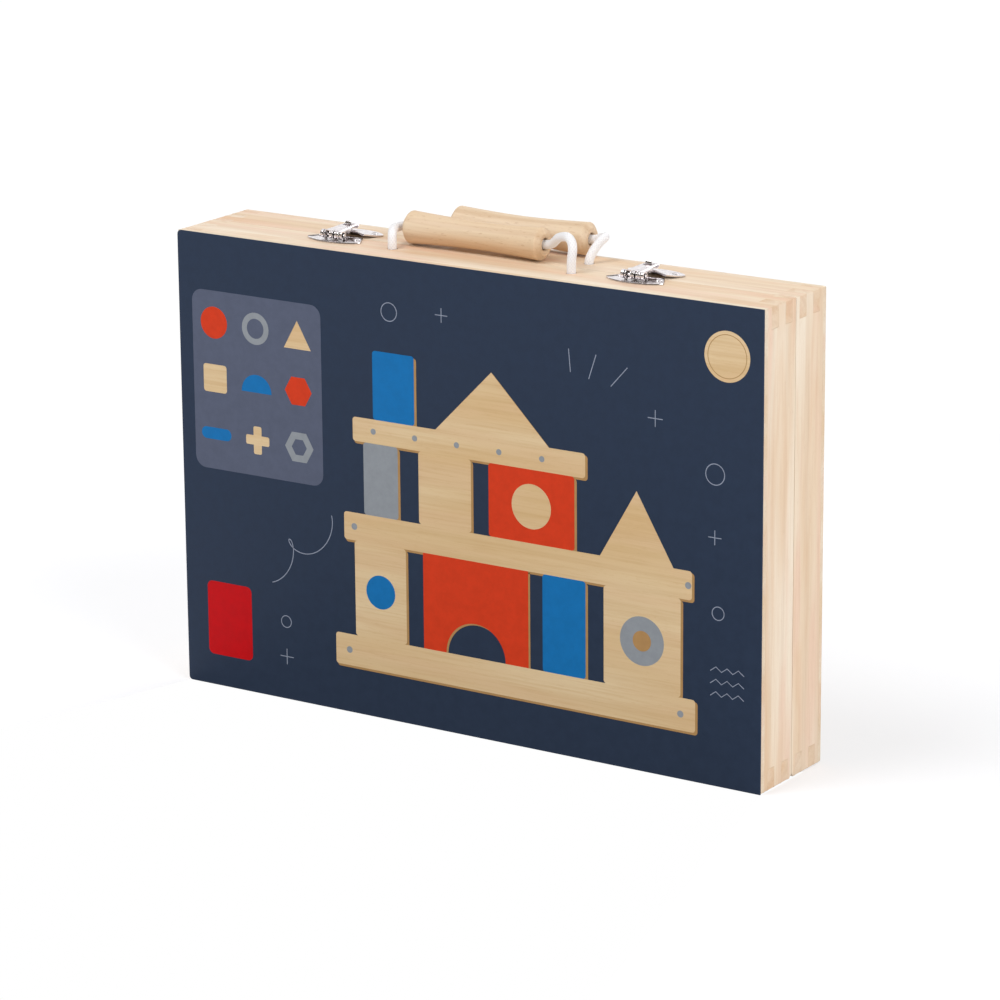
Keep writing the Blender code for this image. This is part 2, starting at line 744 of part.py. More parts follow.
def add_latch(side, x):
    """A hinged hasp on the front plate; its slot drops over a tongue on the rear plate."""
    low = case_height + glue_line
    high = low + latch_plate_thickness
    front = level_sheet(f"{side}_latch_front_plate", [plate_outline(x, True)], (low, high), nickel)
    rear = level_sheet(f"{side}_latch_rear_plate", [plate_outline(x, False)], (low, high), nickel)
    tongue = box(
        f"{side}_tongue",
        (x - tongue_width / 2, x + tongue_width / 2),
        (seam_y + tongue_setback - tongue_thickness / 2, seam_y + tongue_setback + tongue_thickness / 2),
        (low + latch_plate_thickness / 2, case_height + tongue_height),
    )
    join(rear, tongue)
    ear_outline = arc((latch_axis_y, latch_axis_z), latch_barrel_radius, -20, 200, coarse_steps)
    ear_foot = latch_barrel_radius
    ear_outline += [
        (latch_axis_y - ear_foot, low + latch_plate_thickness / 2),
        (latch_axis_y + ear_foot, low + latch_plate_thickness / 2),
    ]
    inner = hasp_width / 2 + ear_gap
    for index, sign in enumerate((-1, 1)):
        ear = side_sheet(
            f"{side}_ear_{index}", [ear_outline], (x + sign * inner, x + sign * (inner + ear_width))
        )
        join(front, ear)
    pin = cylinder(
        f"{side}_latch_pin", latch_pin_radius,
        (x - inner - ear_width / 2, latch_axis_y, latch_axis_z),
        (x + inner + ear_width / 2, latch_axis_y, latch_axis_z),
    )
    join(front, pin)
    top = latch_axis_z + latch_barrel_radius
    end = latch_axis_y + hasp_reach
    outline = arc((latch_axis_y, latch_axis_z), latch_barrel_radius, 90, 390, fine_steps)
    outline += [
        (latch_axis_y + latch_barrel_radius, top - hasp_thickness),
        (end - hasp_thickness, top - hasp_thickness),
        (end, top - hasp_lip),
        (end + hasp_thickness, top - hasp_lip),
        (end, top),
    ]
    bore = circle((latch_axis_y, latch_axis_z), latch_bore_radius)
    hasp = side_sheet(f"{side}_hasp", [outline, bore], (x - hasp_width / 2, x + hasp_width / 2), nickel)
    slot = box(
        f"{side}_hasp_slot",
        (x - hasp_slot_width / 2, x + hasp_slot_width / 2),
        (seam_y + tongue_setback - hasp_slot_length / 2, seam_y + tongue_setback + hasp_slot_length / 2),
        (top - hasp_thickness - overrun, top + overrun),
    )
    cut(hasp, slot)
    set_origin(hasp, (x, latch_axis_y, latch_axis_z))


def set_origin(obj, place):
    """Moves an object's origin without moving its shape."""
    shift = Matrix.Translation(place)
    obj.data.transform(shift.inverted() @ obj.matrix_world)
    obj.matrix_world = shift


def parent_to_pivot(name, place, *children):
    """An empty on a joint's axis, with the pieces that turn about it."""
    pivot = bpy.data.objects.new(name, None)
    parts.objects.link(pivot)
    pivot.location = place
    for child in children:
        child.parent = pivot
        child.matrix_parent_inverse = Matrix.Translation(place).inverted()


def grip_profile(length):
    """Radius against distance for a waisted grip with a bore."""
    half = length / 2
    points = []
    for i in range(grip_stations + 1):
        share = 1 - 2 * i / grip_stations
        radius = grip_waist_radius + (grip_radius - grip_waist_radius) * share**2
        points.append((radius, half + share * (half - grip_end_round)))
    corner = grip_end_round / 3
    ends = [(grip_radius - grip_end_round, length), (grip_radius - corner, length - corner)]
    outer = ends + points + [(r, length - z) for r, z in reversed(ends)]
    return outer + [(grip_bore_radius, 0), (grip_bore_radius, length)]


def smooth_route(points, spacing):
    """A smooth curve through the points of a cord's route, as evenly spread points."""
    padded = [points[0] * 2 - points[1]] + points + [points[-1] * 2 - points[-2]]
    dense = []
    for a, b, c, d in zip(padded, padded[1:], padded[2:], padded[3:]):
        for i in range(fine_steps):
            t = i / fine_steps
            dense.append(
                (b * 2 + (c - a) * t + (a * 2 - b * 5 + c * 4 - d) * t**2 + (b * 3 - a - c * 3 + d) * t**3) / 2
            )
    dense.append(points[-1])
    lengths = [0.0]
    for first, second in zip(dense, dense[1:]):
        lengths.append(lengths[-1] + (second - first).length)
    count = max(2, round(lengths[-1] / spacing))
    route, index = [], 0
    for step in range(count + 1):
        target = lengths[-1] * step / count
        while index < len(lengths) - 2 and lengths[index + 1] < target:
            index += 1
        share = (target - lengths[index]) / max(lengths[index + 1] - lengths[index], 1e-9)
        route.append(dense[index].lerp(dense[index + 1], min(1, share)))
    return route


def tube(name, route, look):
    data = bpy.data.curves.new(name, "CURVE")
    data.dimensions = "3D"
    data.bevel_depth = cord_radius
    data.bevel_resolution = 2
    data.use_fill_caps = True
    spline = data.splines.new("POLY")
    spline.points.add(len(route) - 1)
    for point, place in zip(spline.points, route):
        point.co = (*place, 1)
    obj = bpy.data.objects.new(name, data)
    parts.objects.link(obj)
    obj.data.materials.append(material(name, *look))
    return obj


def add_cord_end(name, x, y, rise, board):
    """A cord end fixed in its hole: a knot under the top board, and a short leg standing out of it."""
    under = case_height - board_thickness
    foot = under - rest_gap - knot_length
    leg_top = case_height + rise - cord_radius - cord_joint_gap
    top = arc((0, leg_top - foot - cord_radius), cord_radius, 90, 0, 4)
    bulge = [(knot_radius * u, knot_length / 2 * (1 + v)) for u, v in arc((0, 0), 1, 68, -90, 8)]
    profile = [(0, leg_top - foot)] + top[1:] + bulge[:-1] + [(0, 0)]
    turned(name, profile, (x, y, foot), (0, 0, 1), white_cord, coarse_steps)
    hole = cylinder(
        f"{name}_hole", cord_radius + cord_hole_clearance,
        (x, y, under - overrun), (x, y, case_height + overrun), count=coarse_steps,
    )
    cut(board, hole)


def add_handle(side, hole_shift, hole_depth, rise, length, shift, depth, board, route):
    """A handle that lies on the top: its grip and cord swing about the tops of the two fixed cord ends."""
    hole_y = front_y + hole_depth
    for name, sign in (("left", -1), ("right", 1)):
        add_cord_end(f"{side}_cord_{name}_end", hole_shift + sign * hole_spacing / 2, hole_y, rise, board)
    axis_y = front_y + depth
    grip = turned(
        f"{side}_grip", grip_profile(length),
        (shift - length / 2, axis_y, grip_axis_z), (1, 0, 0), pale_wood,
    )
    cord = tube(f"{side}_cord", smooth_route(route, cord_point_spacing), white_cord)
    parent_to_pivot(f"{side}_handle_pivot", (0, hole_y, case_height + rise), grip, cord)


def cord_route(side):
    """The chosen points of a handle's cord, from its left joint through the grip to its right joint."""
    # Each bend is given as x, then y and z from the joint
    if side == "front":
        middle, hole_y, joint_z = front_hole_shift, front_y + front_hole_depth, case_height + front_cord_rise
        shift, length, axis_y = front_grip_shift, front_grip_length, front_y + front_grip_depth
        left = [
            (middle - hole_spacing / 2, 0, 0), (-0.0510, 0.0042, 0.0001),
            (-0.0518, 0.0086, 0.0002), (-0.0508, 0.0124, 0.0004),
        ]
        right = [
            (0.0312, 0.0128, 0.0014), (0.0350, 0.0108, 0.0037), (0.0388, 0.0080, 0.0059), (0.0430, 0.0056, 0.0073),
            (0.0470, 0.0036, 0.0077), (0.0500, 0.0018, 0.0063), (0.0513, 0.0007, 0.0032),
            (middle + hole_spacing / 2, 0, -0.0014),
        ]
    else:
        middle, hole_y, joint_z = rear_hole_shift, front_y + rear_hole_depth, case_height + rear_cord_rise
        shift, length, axis_y = rear_grip_shift, rear_grip_length, front_y + rear_grip_depth
        left = [
            (middle - hole_spacing / 2, 0, 0), (-0.0536, 0.0042, -0.0009), (-0.0516, 0.0080, -0.0021),
            (-0.0480, 0.0109, -0.0028), (-0.0438, 0.0126, -0.0030), (-0.0393, 0.0132, -0.0028),
        ]
        right = [
            (0.0439, 0.0130, -0.0017), (0.0474, 0.0116, -0.0003), (0.0496, 0.0090, 0.0004),
            (0.0494, 0.0054, 0.0003), (0.0482, 0.0022, 0.0001), (middle + hole_spacing / 2, 0, 0),
        ]
    bends = [[Vector((x, hole_y + y, joint_z + z)) for x, y, z in points] for points in (left, right)]
    count = round(length / grip_point_spacing)
    through = [Vector((shift + length * (i / count - 0.5), axis_y, grip_axis_z)) for i in range(count + 1)]
    return bends[0] + through + bends[1]


def bar_outward(y_of):
    """The way a turn bar's screw points."""
    return (0, -1, 0) if y_of is base_span else (0, 1, 0)


def bar_screw_profile(gap, rise=0):
    """Radius against height of a countersunk screw, or of its hole when there is a gap."""
    top = bar_post_height + bar_clearance + bar_thickness
    head = bar_screw_head_radius + gap
    shank = bar_screw_radius + gap
    profile = [(0, top + rise), (head, top + rise)]
    if rise:
        profile.append((head, top))
    return profile + [
        (shank, top - bar_screw_head_height),
        (shank, bar_screw_foot),
        (0, bar_screw_foot),
    ]


def add_bar(name, x, z, arms, y_of, look):
    """A wooden bar that turns on a screw; its arms reach right and left of the screw."""
    low = bar_post_height + bar_clearance
    outline = rounded_rectangle(
        (x + arms[0], x - arms[1]), (z - bar_width / 2, z + bar_width / 2), bar_end_round
    )
    bar = upright_sheet(name, [outline], y_of(low, low + bar_thickness), look)
    bore = turned(
        f"{name}_bore", bar_screw_profile(bar_bore_clearance, overrun),
        (x, y_of(0, 0)[0], z), bar_outward(y_of), count=coarse_steps,
    )
    return cut(bar, bore)


def add_post(name, x, z, width, depth, y_of):
    """A block glued to the panel, with the screw that its bar turns on."""
    post = box(
        name, (x - width / 2, x + width / 2), y_of(glue_line, bar_post_height),
        (z - depth / 2, z + depth / 2), pale_wood,
    )
    screw = turned(
        f"{name}_screw", bar_screw_profile(0), (x, y_of(0, 0)[0], z), bar_outward(y_of), count=coarse_steps
    )
    join(post, screw)
    return post


def add_turn_bars():
    """Four turn bars with their posts, and the two fixed blocks."""
    for name, pivot, arms, width in (
        ("lid_left", lid_left_pivot, lid_left_bar_arms, lid_left_post_width),
        ("lid_right", lid_right_pivot, lid_right_bar_arms, lid_right_post_width),
    ):
        x = from_right(pivot)
        bar = add_bar(f"{name}_turn_bar", x, lid_bar_height, arms, lid_span, pale_wood)
        set_origin(bar, (x, lid_floor_y, lid_bar_height))
        add_post(f"{name}_bar_post", x, lid_bar_height, width, bar_width, lid_span)
    for name, pivot, arms, width in (
        ("base_left", base_left_pivot, base_left_bar_arms, base_left_post_width),
        ("base_right", base_right_pivot, base_right_bar_arms, base_right_post_width),
    ):
        x = from_right(pivot)
        bar = add_bar(f"{name}_turn_bar", x, base_bar_height, arms, base_span, pale_wood)
        set_origin(bar, (x, base_floor_y, base_bar_height))
        add_post(f"{name}_bar_post", x, base_bar_height, width, base_post_depth, base_span)
    x = from_right(lid_block_from_right)
    upright_sheet(
        "lid_centre_block",
        [rounded_rectangle(
            (x - lid_block_width / 2, x + lid_block_width / 2),
            (lid_bar_height - bar_width / 2, lid_bar_height + bar_width / 2), bar_end_round,
        )],
        lid_span(glue_line, bar_post_height + bar_clearance + bar_thickness), pale_wood,
    )
    x = from_right(stop_block_from_right)
    box(
        "base_stop_block",
        (x - stop_block_width / 2, x + stop_block_width / 2), base_span(glue_line, stop_block_thickness),
        (stop_block_height - stop_block_depth / 2, stop_block_height + stop_block_depth / 2), pale_wood,
    )


def add_square():
    """A ruler blade lapped into a painted stock."""
    x = from_right(square_blade_from_right)
    half = square_blade_width / 2
    blade_x = (x - half, x + half)
    box(
        "square_blade", blade_x, lid_span(rest_gap, rest_gap + square_blade_thickness),
        (square_foot, square_foot + square_blade_length), pale_wood,
    )
    middle = from_right(square_stock_from_right)
    stock_x = (middle - square_stock_length / 2, middle + square_stock_length / 2)
    stock = box(
        "square_stock", stock_x, lid_span(rest_gap, rest_gap + square_stock_thickness),
        (square_foot, square_foot + square_stock_width), red_paint,
    )
    lap = box(
        "square_lap",
        (blade_x[0] - square_lap_clearance, stock_x[1] + overrun),
        lid_span(-overrun, rest_gap + square_blade_thickness + square_lap_clearance),
        (square_foot - overrun, square_foot + square_stock_width + overrun),
    )
    cut(stock, lap)


wrench_shaft_shares = [(0.92, 0.42), (1.02, 0.56)]
wrench_head_shares = [(0.72, 0.66), (0.96, 0.76), (1.0, 0.85), (0.92, 0.93), (0.7, 0.985), (0.42, 1.0)]
wrench_jaw_offset_share = 0.06


def add_wrench():
    """An adjustable wrench cut from one board."""
    x = from_right(wrench_from_right)
    foot = wrench_foot + wrench_shaft_width / 2
    half = wrench_shaft_width / 2
    head = wrench_width / 2
    top = wrench_foot + wrench_length
    end_arc = arc((0, foot), half, 180, 360, 10)
    side = [(half * u, wrench_foot + wrench_length * v) for u, v in wrench_shaft_shares]
    side += [(head * u, wrench_foot + wrench_length * v) for u, v in wrench_head_shares]
    side = soft_run([end_arc[-1]] + side, wrench_softness)[1:]
    outline = end_arc + side
    jaw = wrench_jaw_width / 2
    jaw_middle = -head * wrench_jaw_offset_share
    outline += [(jaw_middle + jaw, top - wrench_jaw_width / 3)]
    outline += arc((jaw_middle, top - wrench_jaw_depth + jaw), jaw, 0, -180, 6)
    outline += [(jaw_middle - jaw, top - wrench_jaw_width / 3)]
    outline += [(-u, z) for u, z in reversed(side)]
    hole = circle((0, foot), wrench_hole_radius, coarse_steps)
    outlines = [turned_points(points, (0, wrench_foot), wrench_tilt) for points in (outline, hole)]
    placed = [[(x + u, z) for u, z in points] for points in outlines]
    upright_sheet(
        "adjustable_wrench", placed, lid_span(rest_gap, rest_gap + wrench_thickness), pale_wood
    )


screwdriver_collar_shares = [(0.9, 1.0), (1.0, 0.985), (1.0, 0.94)]
screwdriver_neck_shares = [0.88, 0.82]
screwdriver_handle_shares = [(0.96, 0.68), (1.0, 0.6), (1.0, 0.05), (0.85, 0.0)]


def add_screwdriver():
    """A flat blade socketed in a turned, painted handle."""
    x = from_right(screwdriver_from_right)
    axis = lid_floor_y + rest_gap + screwdriver_handle_radius
    length = screwdriver_handle_length
    profile = [(screwdriver_collar_radius * u, length * v) for u, v in screwdriver_collar_shares]
    profile += [(screwdriver_neck_radius, length * v) for v in screwdriver_neck_shares]
    profile += [(screwdriver_handle_radius * u, length * v) for u, v in screwdriver_handle_shares]
    handle = turned(
        "screwdriver_handle", [(0, length)] + profile + [(0, 0)],
        (x, axis, screwdriver_foot), (0, 0, 1), blue_paint, fine_steps,
    )
    top = screwdriver_foot + length
    half_width, half_thickness = screwdriver_blade_width / 2, screwdriver_blade_thickness / 2
    foot = top - screwdriver_socket_depth
    box(
        "screwdriver_blade", (x - half_width, x + half_width),
        (axis - half_thickness, axis + half_thickness), (foot, top + screwdriver_blade_length), pale_wood,
    )
    room = socket_clearance
    cut(handle, box(
        "screwdriver_socket", (x - half_width - room, x + half_width + room),
        (axis - half_thickness - room, axis + half_thickness + room), (foot - room, top + overrun),
    ))


def add_spanner():
    """A spanner with an open jaw at the top and a ring with a hexagon hole at the foot."""
    x = from_right(spanner_from_right)
    half = spanner_shaft_width / 2
    ring = (0, spanner_foot + spanner_ring_radius)
    head = (0, spanner_foot + spanner_length - spanner_head_radius)
    ring_angle = math.degrees(math.asin(half / spanner_ring_radius))
    head_angle = math.degrees(math.asin(half / spanner_head_radius))
    jaw = spanner_jaw_width / 2
    jaw_angle = math.degrees(math.asin(jaw / spanner_head_radius))
    jaw_floor = spanner_foot + spanner_length - spanner_jaw_depth
    outline = arc(ring, spanner_ring_radius, 90 + ring_angle, 450 - ring_angle, steps)
    outline += arc(head, spanner_head_radius, -90 + head_angle, 90 - jaw_angle, 10)
    outline += [(jaw, jaw_floor + jaw / 2), (jaw / 2, jaw_floor), (-jaw / 2, jaw_floor), (-jaw, jaw_floor + jaw / 2)]
    outline += arc(head, spanner_head_radius, 90 + jaw_angle, 270 - head_angle, 10)
    hexagon = arc(ring, spanner_hex_radius, 0, 360, 6)[:-1]
    outlines = [turned_points(points, ring, spanner_tilt) for points in (outline, hexagon)]
    placed = [[(x + u, z) for u, z in points] for points in outlines]
    upright_sheet("spanner", placed, lid_span(rest_gap, rest_gap + spanner_thickness), grey_paint)


saw_handle_shares = [
    (0.0, 0.06), (0.0, 1.0), (0.5, 1.0), (0.72, 0.9), (0.9, 0.68), (1.0, 0.4),
    (0.97, 0.2), (0.85, 0.06), (0.72, 0.0), (0.3, 0.04),
]
saw_opening_shares = [(0.17, 0.36), (0.17, 0.71), (0.53, 0.71), (0.77, 0.34)]


def add_saw():
    """A wavy-toothed blade tenoned into a painted handle with a finger opening."""
    back = from_right(saw_back_from_right)
    top = saw_blade_foot
    handle = upright_sheet(
        "saw_handle",
        [
            soft_run(
                [(back + saw_handle_width * u, saw_foot + saw_handle_height * v) for u, v in shares],
                saw_softness, closed=True,
            )
            for shares in (saw_handle_shares, saw_opening_shares)
        ],
        lid_span(rest_gap, rest_gap + saw_handle_thickness), red_paint,
    )
    tip = top + saw_blade_length
    foot = top - saw_tenon
    blade_back = back + saw_blade_thickness / 2
    outline = [(blade_back, tip - saw_blade_tip_width / 4), (blade_back, foot)]
    outline += [(blade_back + saw_tenon_width, foot), (blade_back + saw_tenon_width, top + rest_gap)]
    teeth = int((saw_blade_length - saw_blade_tip_width / 4 - saw_tooth_pitch) / saw_tooth_pitch)
    for i in range(teeth + 1):
        z = top + saw_tooth_pitch / 2 + saw_tooth_pitch * i
        edge = blade_back + saw_blade_width - saw_taper * (z - top)
        outline += [(edge - saw_tooth_depth, z), (edge, z + saw_tooth_pitch / 2)]
    outline += arc((blade_back + saw_blade_tip_width / 2, tip - saw_blade_tip_width / 4), saw_blade_tip_width / 2, 50, 130, 6)
    middle = rest_gap + saw_handle_thickness / 2
    span = lid_span(middle - saw_blade_thickness / 2, middle + saw_blade_thickness / 2)
    upright_sheet("saw_blade", [outline], span, pale_wood)
    room = socket_clearance
    cut(handle, box(
        "saw_socket", (blade_back - room, blade_back + saw_tenon_width + room),
        (span[0] - room, span[1] + room), (foot - room, top + overrun),
    ))


hammer_head_shares = [
    (-0.31, 1.0), (-0.31, 0.42), (-0.26, 0.3), (-0.13, 0.05), (0.05, 0.0), (0.25, 0.03), (0.45, 0.16),
    (0.6, 0.36), (0.69, 0.66), (0.58, 0.62), (0.47, 0.6), (0.4, 0.72), (0.33, 0.95), (0.2, 0.78),
    (0.09, 0.56), (-0.08, 0.56), (-0.11, 0.74), (-0.13, 1.0),
]


hammer_grip_shares = [(0.85, 1.0), (1.0, 0.95), (1.0, 0.7)]
hammer_neck_shares = [(1.0, 0.04), (0.93, 0.0)]


def add_hammer():
    """A claw head and a painted grip on a wooden shaft, laid with the head toward the hinged edge."""
    x = from_right(hammer_from_right)
    axis = base_floor_y - rest_gap - hammer_grip_radius
    half = hammer_head_thickness / 2
    outline = [
        (x - hammer_head_width * u, hammer_foot + hammer_head_height * v) for u, v in hammer_head_shares
    ]
    outline = soft_run(outline, hammer_softness, closed=True)
    head = upright_sheet("hammer_head", [outline], (axis - half, axis + half), grey_paint)
    shaft_foot = hammer_foot + hammer_head_height / 8
    grip_foot = hammer_top - hammer_grip_length
    room = hammer_head_bore_clearance
    cut(head, cylinder(
        "hammer_eye", hammer_shaft_radius + room, (x, axis, shaft_foot - room), (x, axis, hammer_top),
    ))
    cylinder(
        "hammer_shaft", hammer_shaft_radius, (x, axis, shaft_foot),
        (x, axis, grip_foot + hammer_grip_socket), pale_wood,
    )
    length = hammer_grip_length
    bore = hammer_shaft_radius + room
    profile = [(hammer_grip_radius * u, length * v) for u, v in hammer_grip_shares]
    profile += [(hammer_grip_neck_radius * u, length * v) for u, v in hammer_neck_shares]
    socket = [(bore, 0), (bore, hammer_grip_socket + room), (0, hammer_grip_socket + room)]
    turned(
        "hammer_grip", [(0, length)] + profile + socket,
        (x, axis, grip_foot), (0, 0, 1), blue_paint, fine_steps,
    )


wooden_jaw_shares = [(0.62, 0.98), (0.9, 0.82), (1.0, 0.58), (0.86, 0.36)]
wooden_bite_shares = [(0.5, 0.58), (0.42, 0.8)]
wooden_handle_shares = [
    (0.5, 0.45), (0.4, 0.96), (0.65, 1.0), (0.92, 0.97), (1.0, 0.6), (0.9, 0.3),
]
red_jaw_shares = [(0.5, 0.97), (0.82, 0.8), (1.0, 0.5), (0.95, 0.38)]
red_bite_shares = [(0.22, 0.55), (0.16, 0.8)]
red_handle_shares = [
    (0.2, 0.35), (0.16, 0.6), (0.1, 0.98), (0.4, 1.0), (0.85, 0.98), (1.0, 0.85), (0.98, 0.55), (0.78, 0.28),
]


def pliers_arm_outline(
    boss, jaw_length, jaw_width, handle_length, handle_width, jaw_shares, bite_shares, handle_shares
):
    """One arm about its pivot: the jaw to +u and down, the handle to -u and up."""
    inner = pliers_jaw_gap / 2
    near_arc, far_arc = arc((0, 0), boss, -35, 90, 8), arc((0, 0), boss, 145, 270, 8)
    jaw = [(inner, -jaw_length)] + [(jaw_width * u, -jaw_length * v) for u, v in jaw_shares]
    outline = soft_run(jaw + near_arc[:1], pliers_softness)[:-1] + near_arc
    handle = [(-inner, boss + inner)] + [(-handle_width * u, handle_length * v) for u, v in handle_shares]
    outline += soft_run(handle + far_arc[:1], pliers_softness)[:-1] + far_arc
    outline += [(inner, -boss - inner)]
    outline += [(jaw_width * u, -jaw_length * v) for u, v in bite_shares]
    return outline


def add_pliers(name, x, pivot_height, boss, jaw_length, jaw_width, handle_length, handle_width, shapes, look):
    """Two arms half-lapped on a dowel: the rear arm, with the dowel, stays put and the front arm turns."""
    outline = pliers_arm_outline(boss, jaw_length, jaw_width, handle_length, handle_width, *shapes)
    low, high = rest_gap, rest_gap + pliers_thickness
    middle = (low + high) / 2
    y_low, y_high = [base_floor_y - h for h in (low, high)]
    moving = upright_sheet(
        f"{name}_front_arm", [[(x + u, pivot_height + v) for u, v in outline]], (y_high, y_low), look
    )
    fixed = upright_sheet(
        f"{name}_rear_arm", [[(x - u, pivot_height + v) for u, v in outline]], (y_high, y_low), look
    )
    lap_radius = boss + pliers_lap_clearance
    lap_gap = pliers_lap_clearance / 2
    cut(moving, cylinder(
        f"{name}_front_lap", lap_radius, (x, base_floor_y - middle - lap_gap, pivot_height),
        (x, base_floor_y + overrun, pivot_height), count=fine_steps,
    ))
    cut(fixed, cylinder(
        f"{name}_rear_lap", lap_radius, (x, y_high - overrun, pivot_height),
        (x, base_floor_y - middle + lap_gap, pivot_height), count=fine_steps,
    ))
    cut(moving, cylinder(
        f"{name}_bore", pliers_pin_radius + pliers_pin_clearance,
        (x, y_high - overrun, pivot_height), (x, base_floor_y + overrun, pivot_height),
    ))
    join(fixed, cylinder(
        f"{name}_dowel", pliers_pin_radius, (x, y_high, pivot_height),
        (x, base_floor_y - (low + middle) / 2, pivot_height),
    ))
    set_origin(moving, (x, base_floor_y, pivot_height))


drill_body_shares = [
    (0.0, 0.02), (0.03, 0.0), (0.35, 0.0), (0.39, 0.03), (0.4, 0.45), (0.42, 0.6), (0.5, 0.7),
    (0.62, 0.725), (0.94, 0.725), (0.99, 0.76), (1.0, 0.86), (0.96, 0.95), (0.85, 0.985), (0.5, 1.0),
    (0.25, 0.99), (0.08, 0.93), (0.0, 0.8),
]
drill_barrel_shares = (0.39, 0.4)
drill_trigger_top_share = 0.6
drill_chuck_nose_share = 0.7
drill_side_grip_shares = [(0.88, 1.0), (1.0, 0.95), (1.0, 0.75)]


def add_drill():
    """A pistol body with a turning chuck and bit, a side grip on a peg, and a glued trigger."""
    back = from_right(drill_back_from_right)
    low, high = rest_gap, rest_gap + drill_thickness
    axis_y = base_floor_y - (low + high) / 2
    body = upright_sheet(
        "drill_body",
        [soft_run(
            [(back + drill_body_reach * u, drill_nose_height + drill_body_length * v) for u, v in drill_body_shares],
            drill_softness, closed=True,
        )],
        base_span(low, high), pale_wood,
    )
    chuck_x = back + drill_barrel_width / 2
    room = drill_spindle_clearance
    cut(body, cylinder(
        "drill_spindle_bore", drill_spindle_radius + room,
        (chuck_x, axis_y, drill_nose_height - overrun),
        (chuck_x, axis_y, drill_nose_height + drill_spindle_length + rest_gap), count=fine_steps,
    ))
    nose = drill_chuck_length + rest_gap
    tip = nose + drill_bit_length
    shoulder = rest_gap + drill_chuck_length * drill_chuck_nose_share
    turned(
        "drill_chuck",
        [
            (0, tip),
            (drill_bit_radius / 2, tip),
            (drill_bit_radius, tip - drill_bit_radius),
            (drill_bit_radius, nose),
            (drill_chuck_radius * drill_chuck_nose_share, nose),
            (drill_chuck_radius, shoulder),
            (drill_chuck_radius, rest_gap),
            (drill_spindle_radius, rest_gap),
            (drill_spindle_radius, -drill_spindle_length),
            (0, -drill_spindle_length),
        ],
        (chuck_x, axis_y, drill_nose_height), (0, 0, -1), silver_paint, fine_steps,
    )
    grip_z = drill_nose_height + drill_side_grip_setback
    face = back + drill_body_reach * drill_barrel_shares[0]
    cut(body, cylinder(
        "drill_peg_bore", drill_peg_radius + room,
        (face - drill_peg_length - room, axis_y, grip_z), (face + overrun + drill_side_grip_length, axis_y, grip_z),
    ))
    length = drill_side_grip_length
    profile = [(drill_side_grip_radius * u, length * v) for u, v in drill_side_grip_shares]
    profile += [(radius, rest_gap * 2) for radius in (drill_side_grip_neck_radius, drill_peg_radius)]
    peg = [(drill_peg_radius, -drill_peg_length), (0, -drill_peg_length)]
    turned(
        "drill_side_grip", [(0, length)] + profile + peg,
        (face, axis_y, grip_z), (1, 0, 0), blue_paint, fine_steps,
    )
    add_trigger(back, axis_y, body)


def add_trigger(back, axis_y, body):
    """The trigger: a block let into the barrel above the pistol grip."""
    barrel_face = back + drill_body_reach * drill_barrel_shares[1]
    low = drill_nose_height + drill_body_length * drill_trigger_top_share - drill_trigger_length
    half = drill_trigger_thickness / 2
    room = socket_clearance
    box(
        "drill_trigger", (barrel_face - drill_trigger_tenon, barrel_face + drill_trigger_reach),
        (axis_y - half, axis_y + half), (low, low + drill_trigger_length), red_paint,
    )
    cut(body, box(
        "drill_trigger_room", (barrel_face - drill_trigger_tenon - room, barrel_face + drill_trigger_reach + room),
        (axis_y - half - room, axis_y + half + room), (low - room, low + drill_trigger_length + room),
    ))


def build():
    front = add_boards("front", True)
    rear = add_boards("rear", False)
    add_edge_relief([half[name] for half in (front, rear) for name in ("bottom", "left", "right")])
    add_panels()
    for side, sign in (("left", -1), ("right", 1)):
        add_hinge(side, sign * hinge_spacing / 2, front["bottom"], rear["bottom"])
        add_latch(side, sign * latch_spacing / 2)
    add_handle(
        "front", front_hole_shift, front_hole_depth, front_cord_rise, front_grip_length, front_grip_shift,
        front_grip_depth, front["top"], cord_route("front"),
    )
    add_handle(
        "rear", rear_hole_shift, rear_hole_depth, rear_cord_rise, rear_grip_length, rear_grip_shift,
        rear_grip_depth, rear["top"], cord_route("rear"),
    )
    add_turn_bars()
    add_square()
    add_wrench()
    add_screwdriver()
    add_spanner()
    add_saw()
    add_hammer()
    add_pliers(
        "wooden_pliers", from_right(wooden_pliers_from_right), wooden_pliers_pivot_height,
        wooden_pliers_boss_radius, wooden_pliers_jaw_length, wooden_pliers_jaw_width,
        wooden_pliers_handle_length, wooden_pliers_handle_width,
        (wooden_jaw_shares, wooden_bite_shares, wooden_handle_shares), pale_wood,
    )
    add_pliers(
        "red_pliers", from_right(red_pliers_from_right), red_pliers_pivot_height,
        red_pliers_boss_radius, red_pliers_jaw_length, red_pliers_jaw_width,
        red_pliers_handle_length, red_pliers_handle_width,
        (red_jaw_shares, red_bite_shares, red_handle_shares), red_paint,
    )
    add_drill()


for old in list(bpy.data.objects):
    bpy.data.objects.remove(old)
parts = new_collection("toy_tool_box")
cutters = new_collection("cutters")
build()
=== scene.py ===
import json
import math

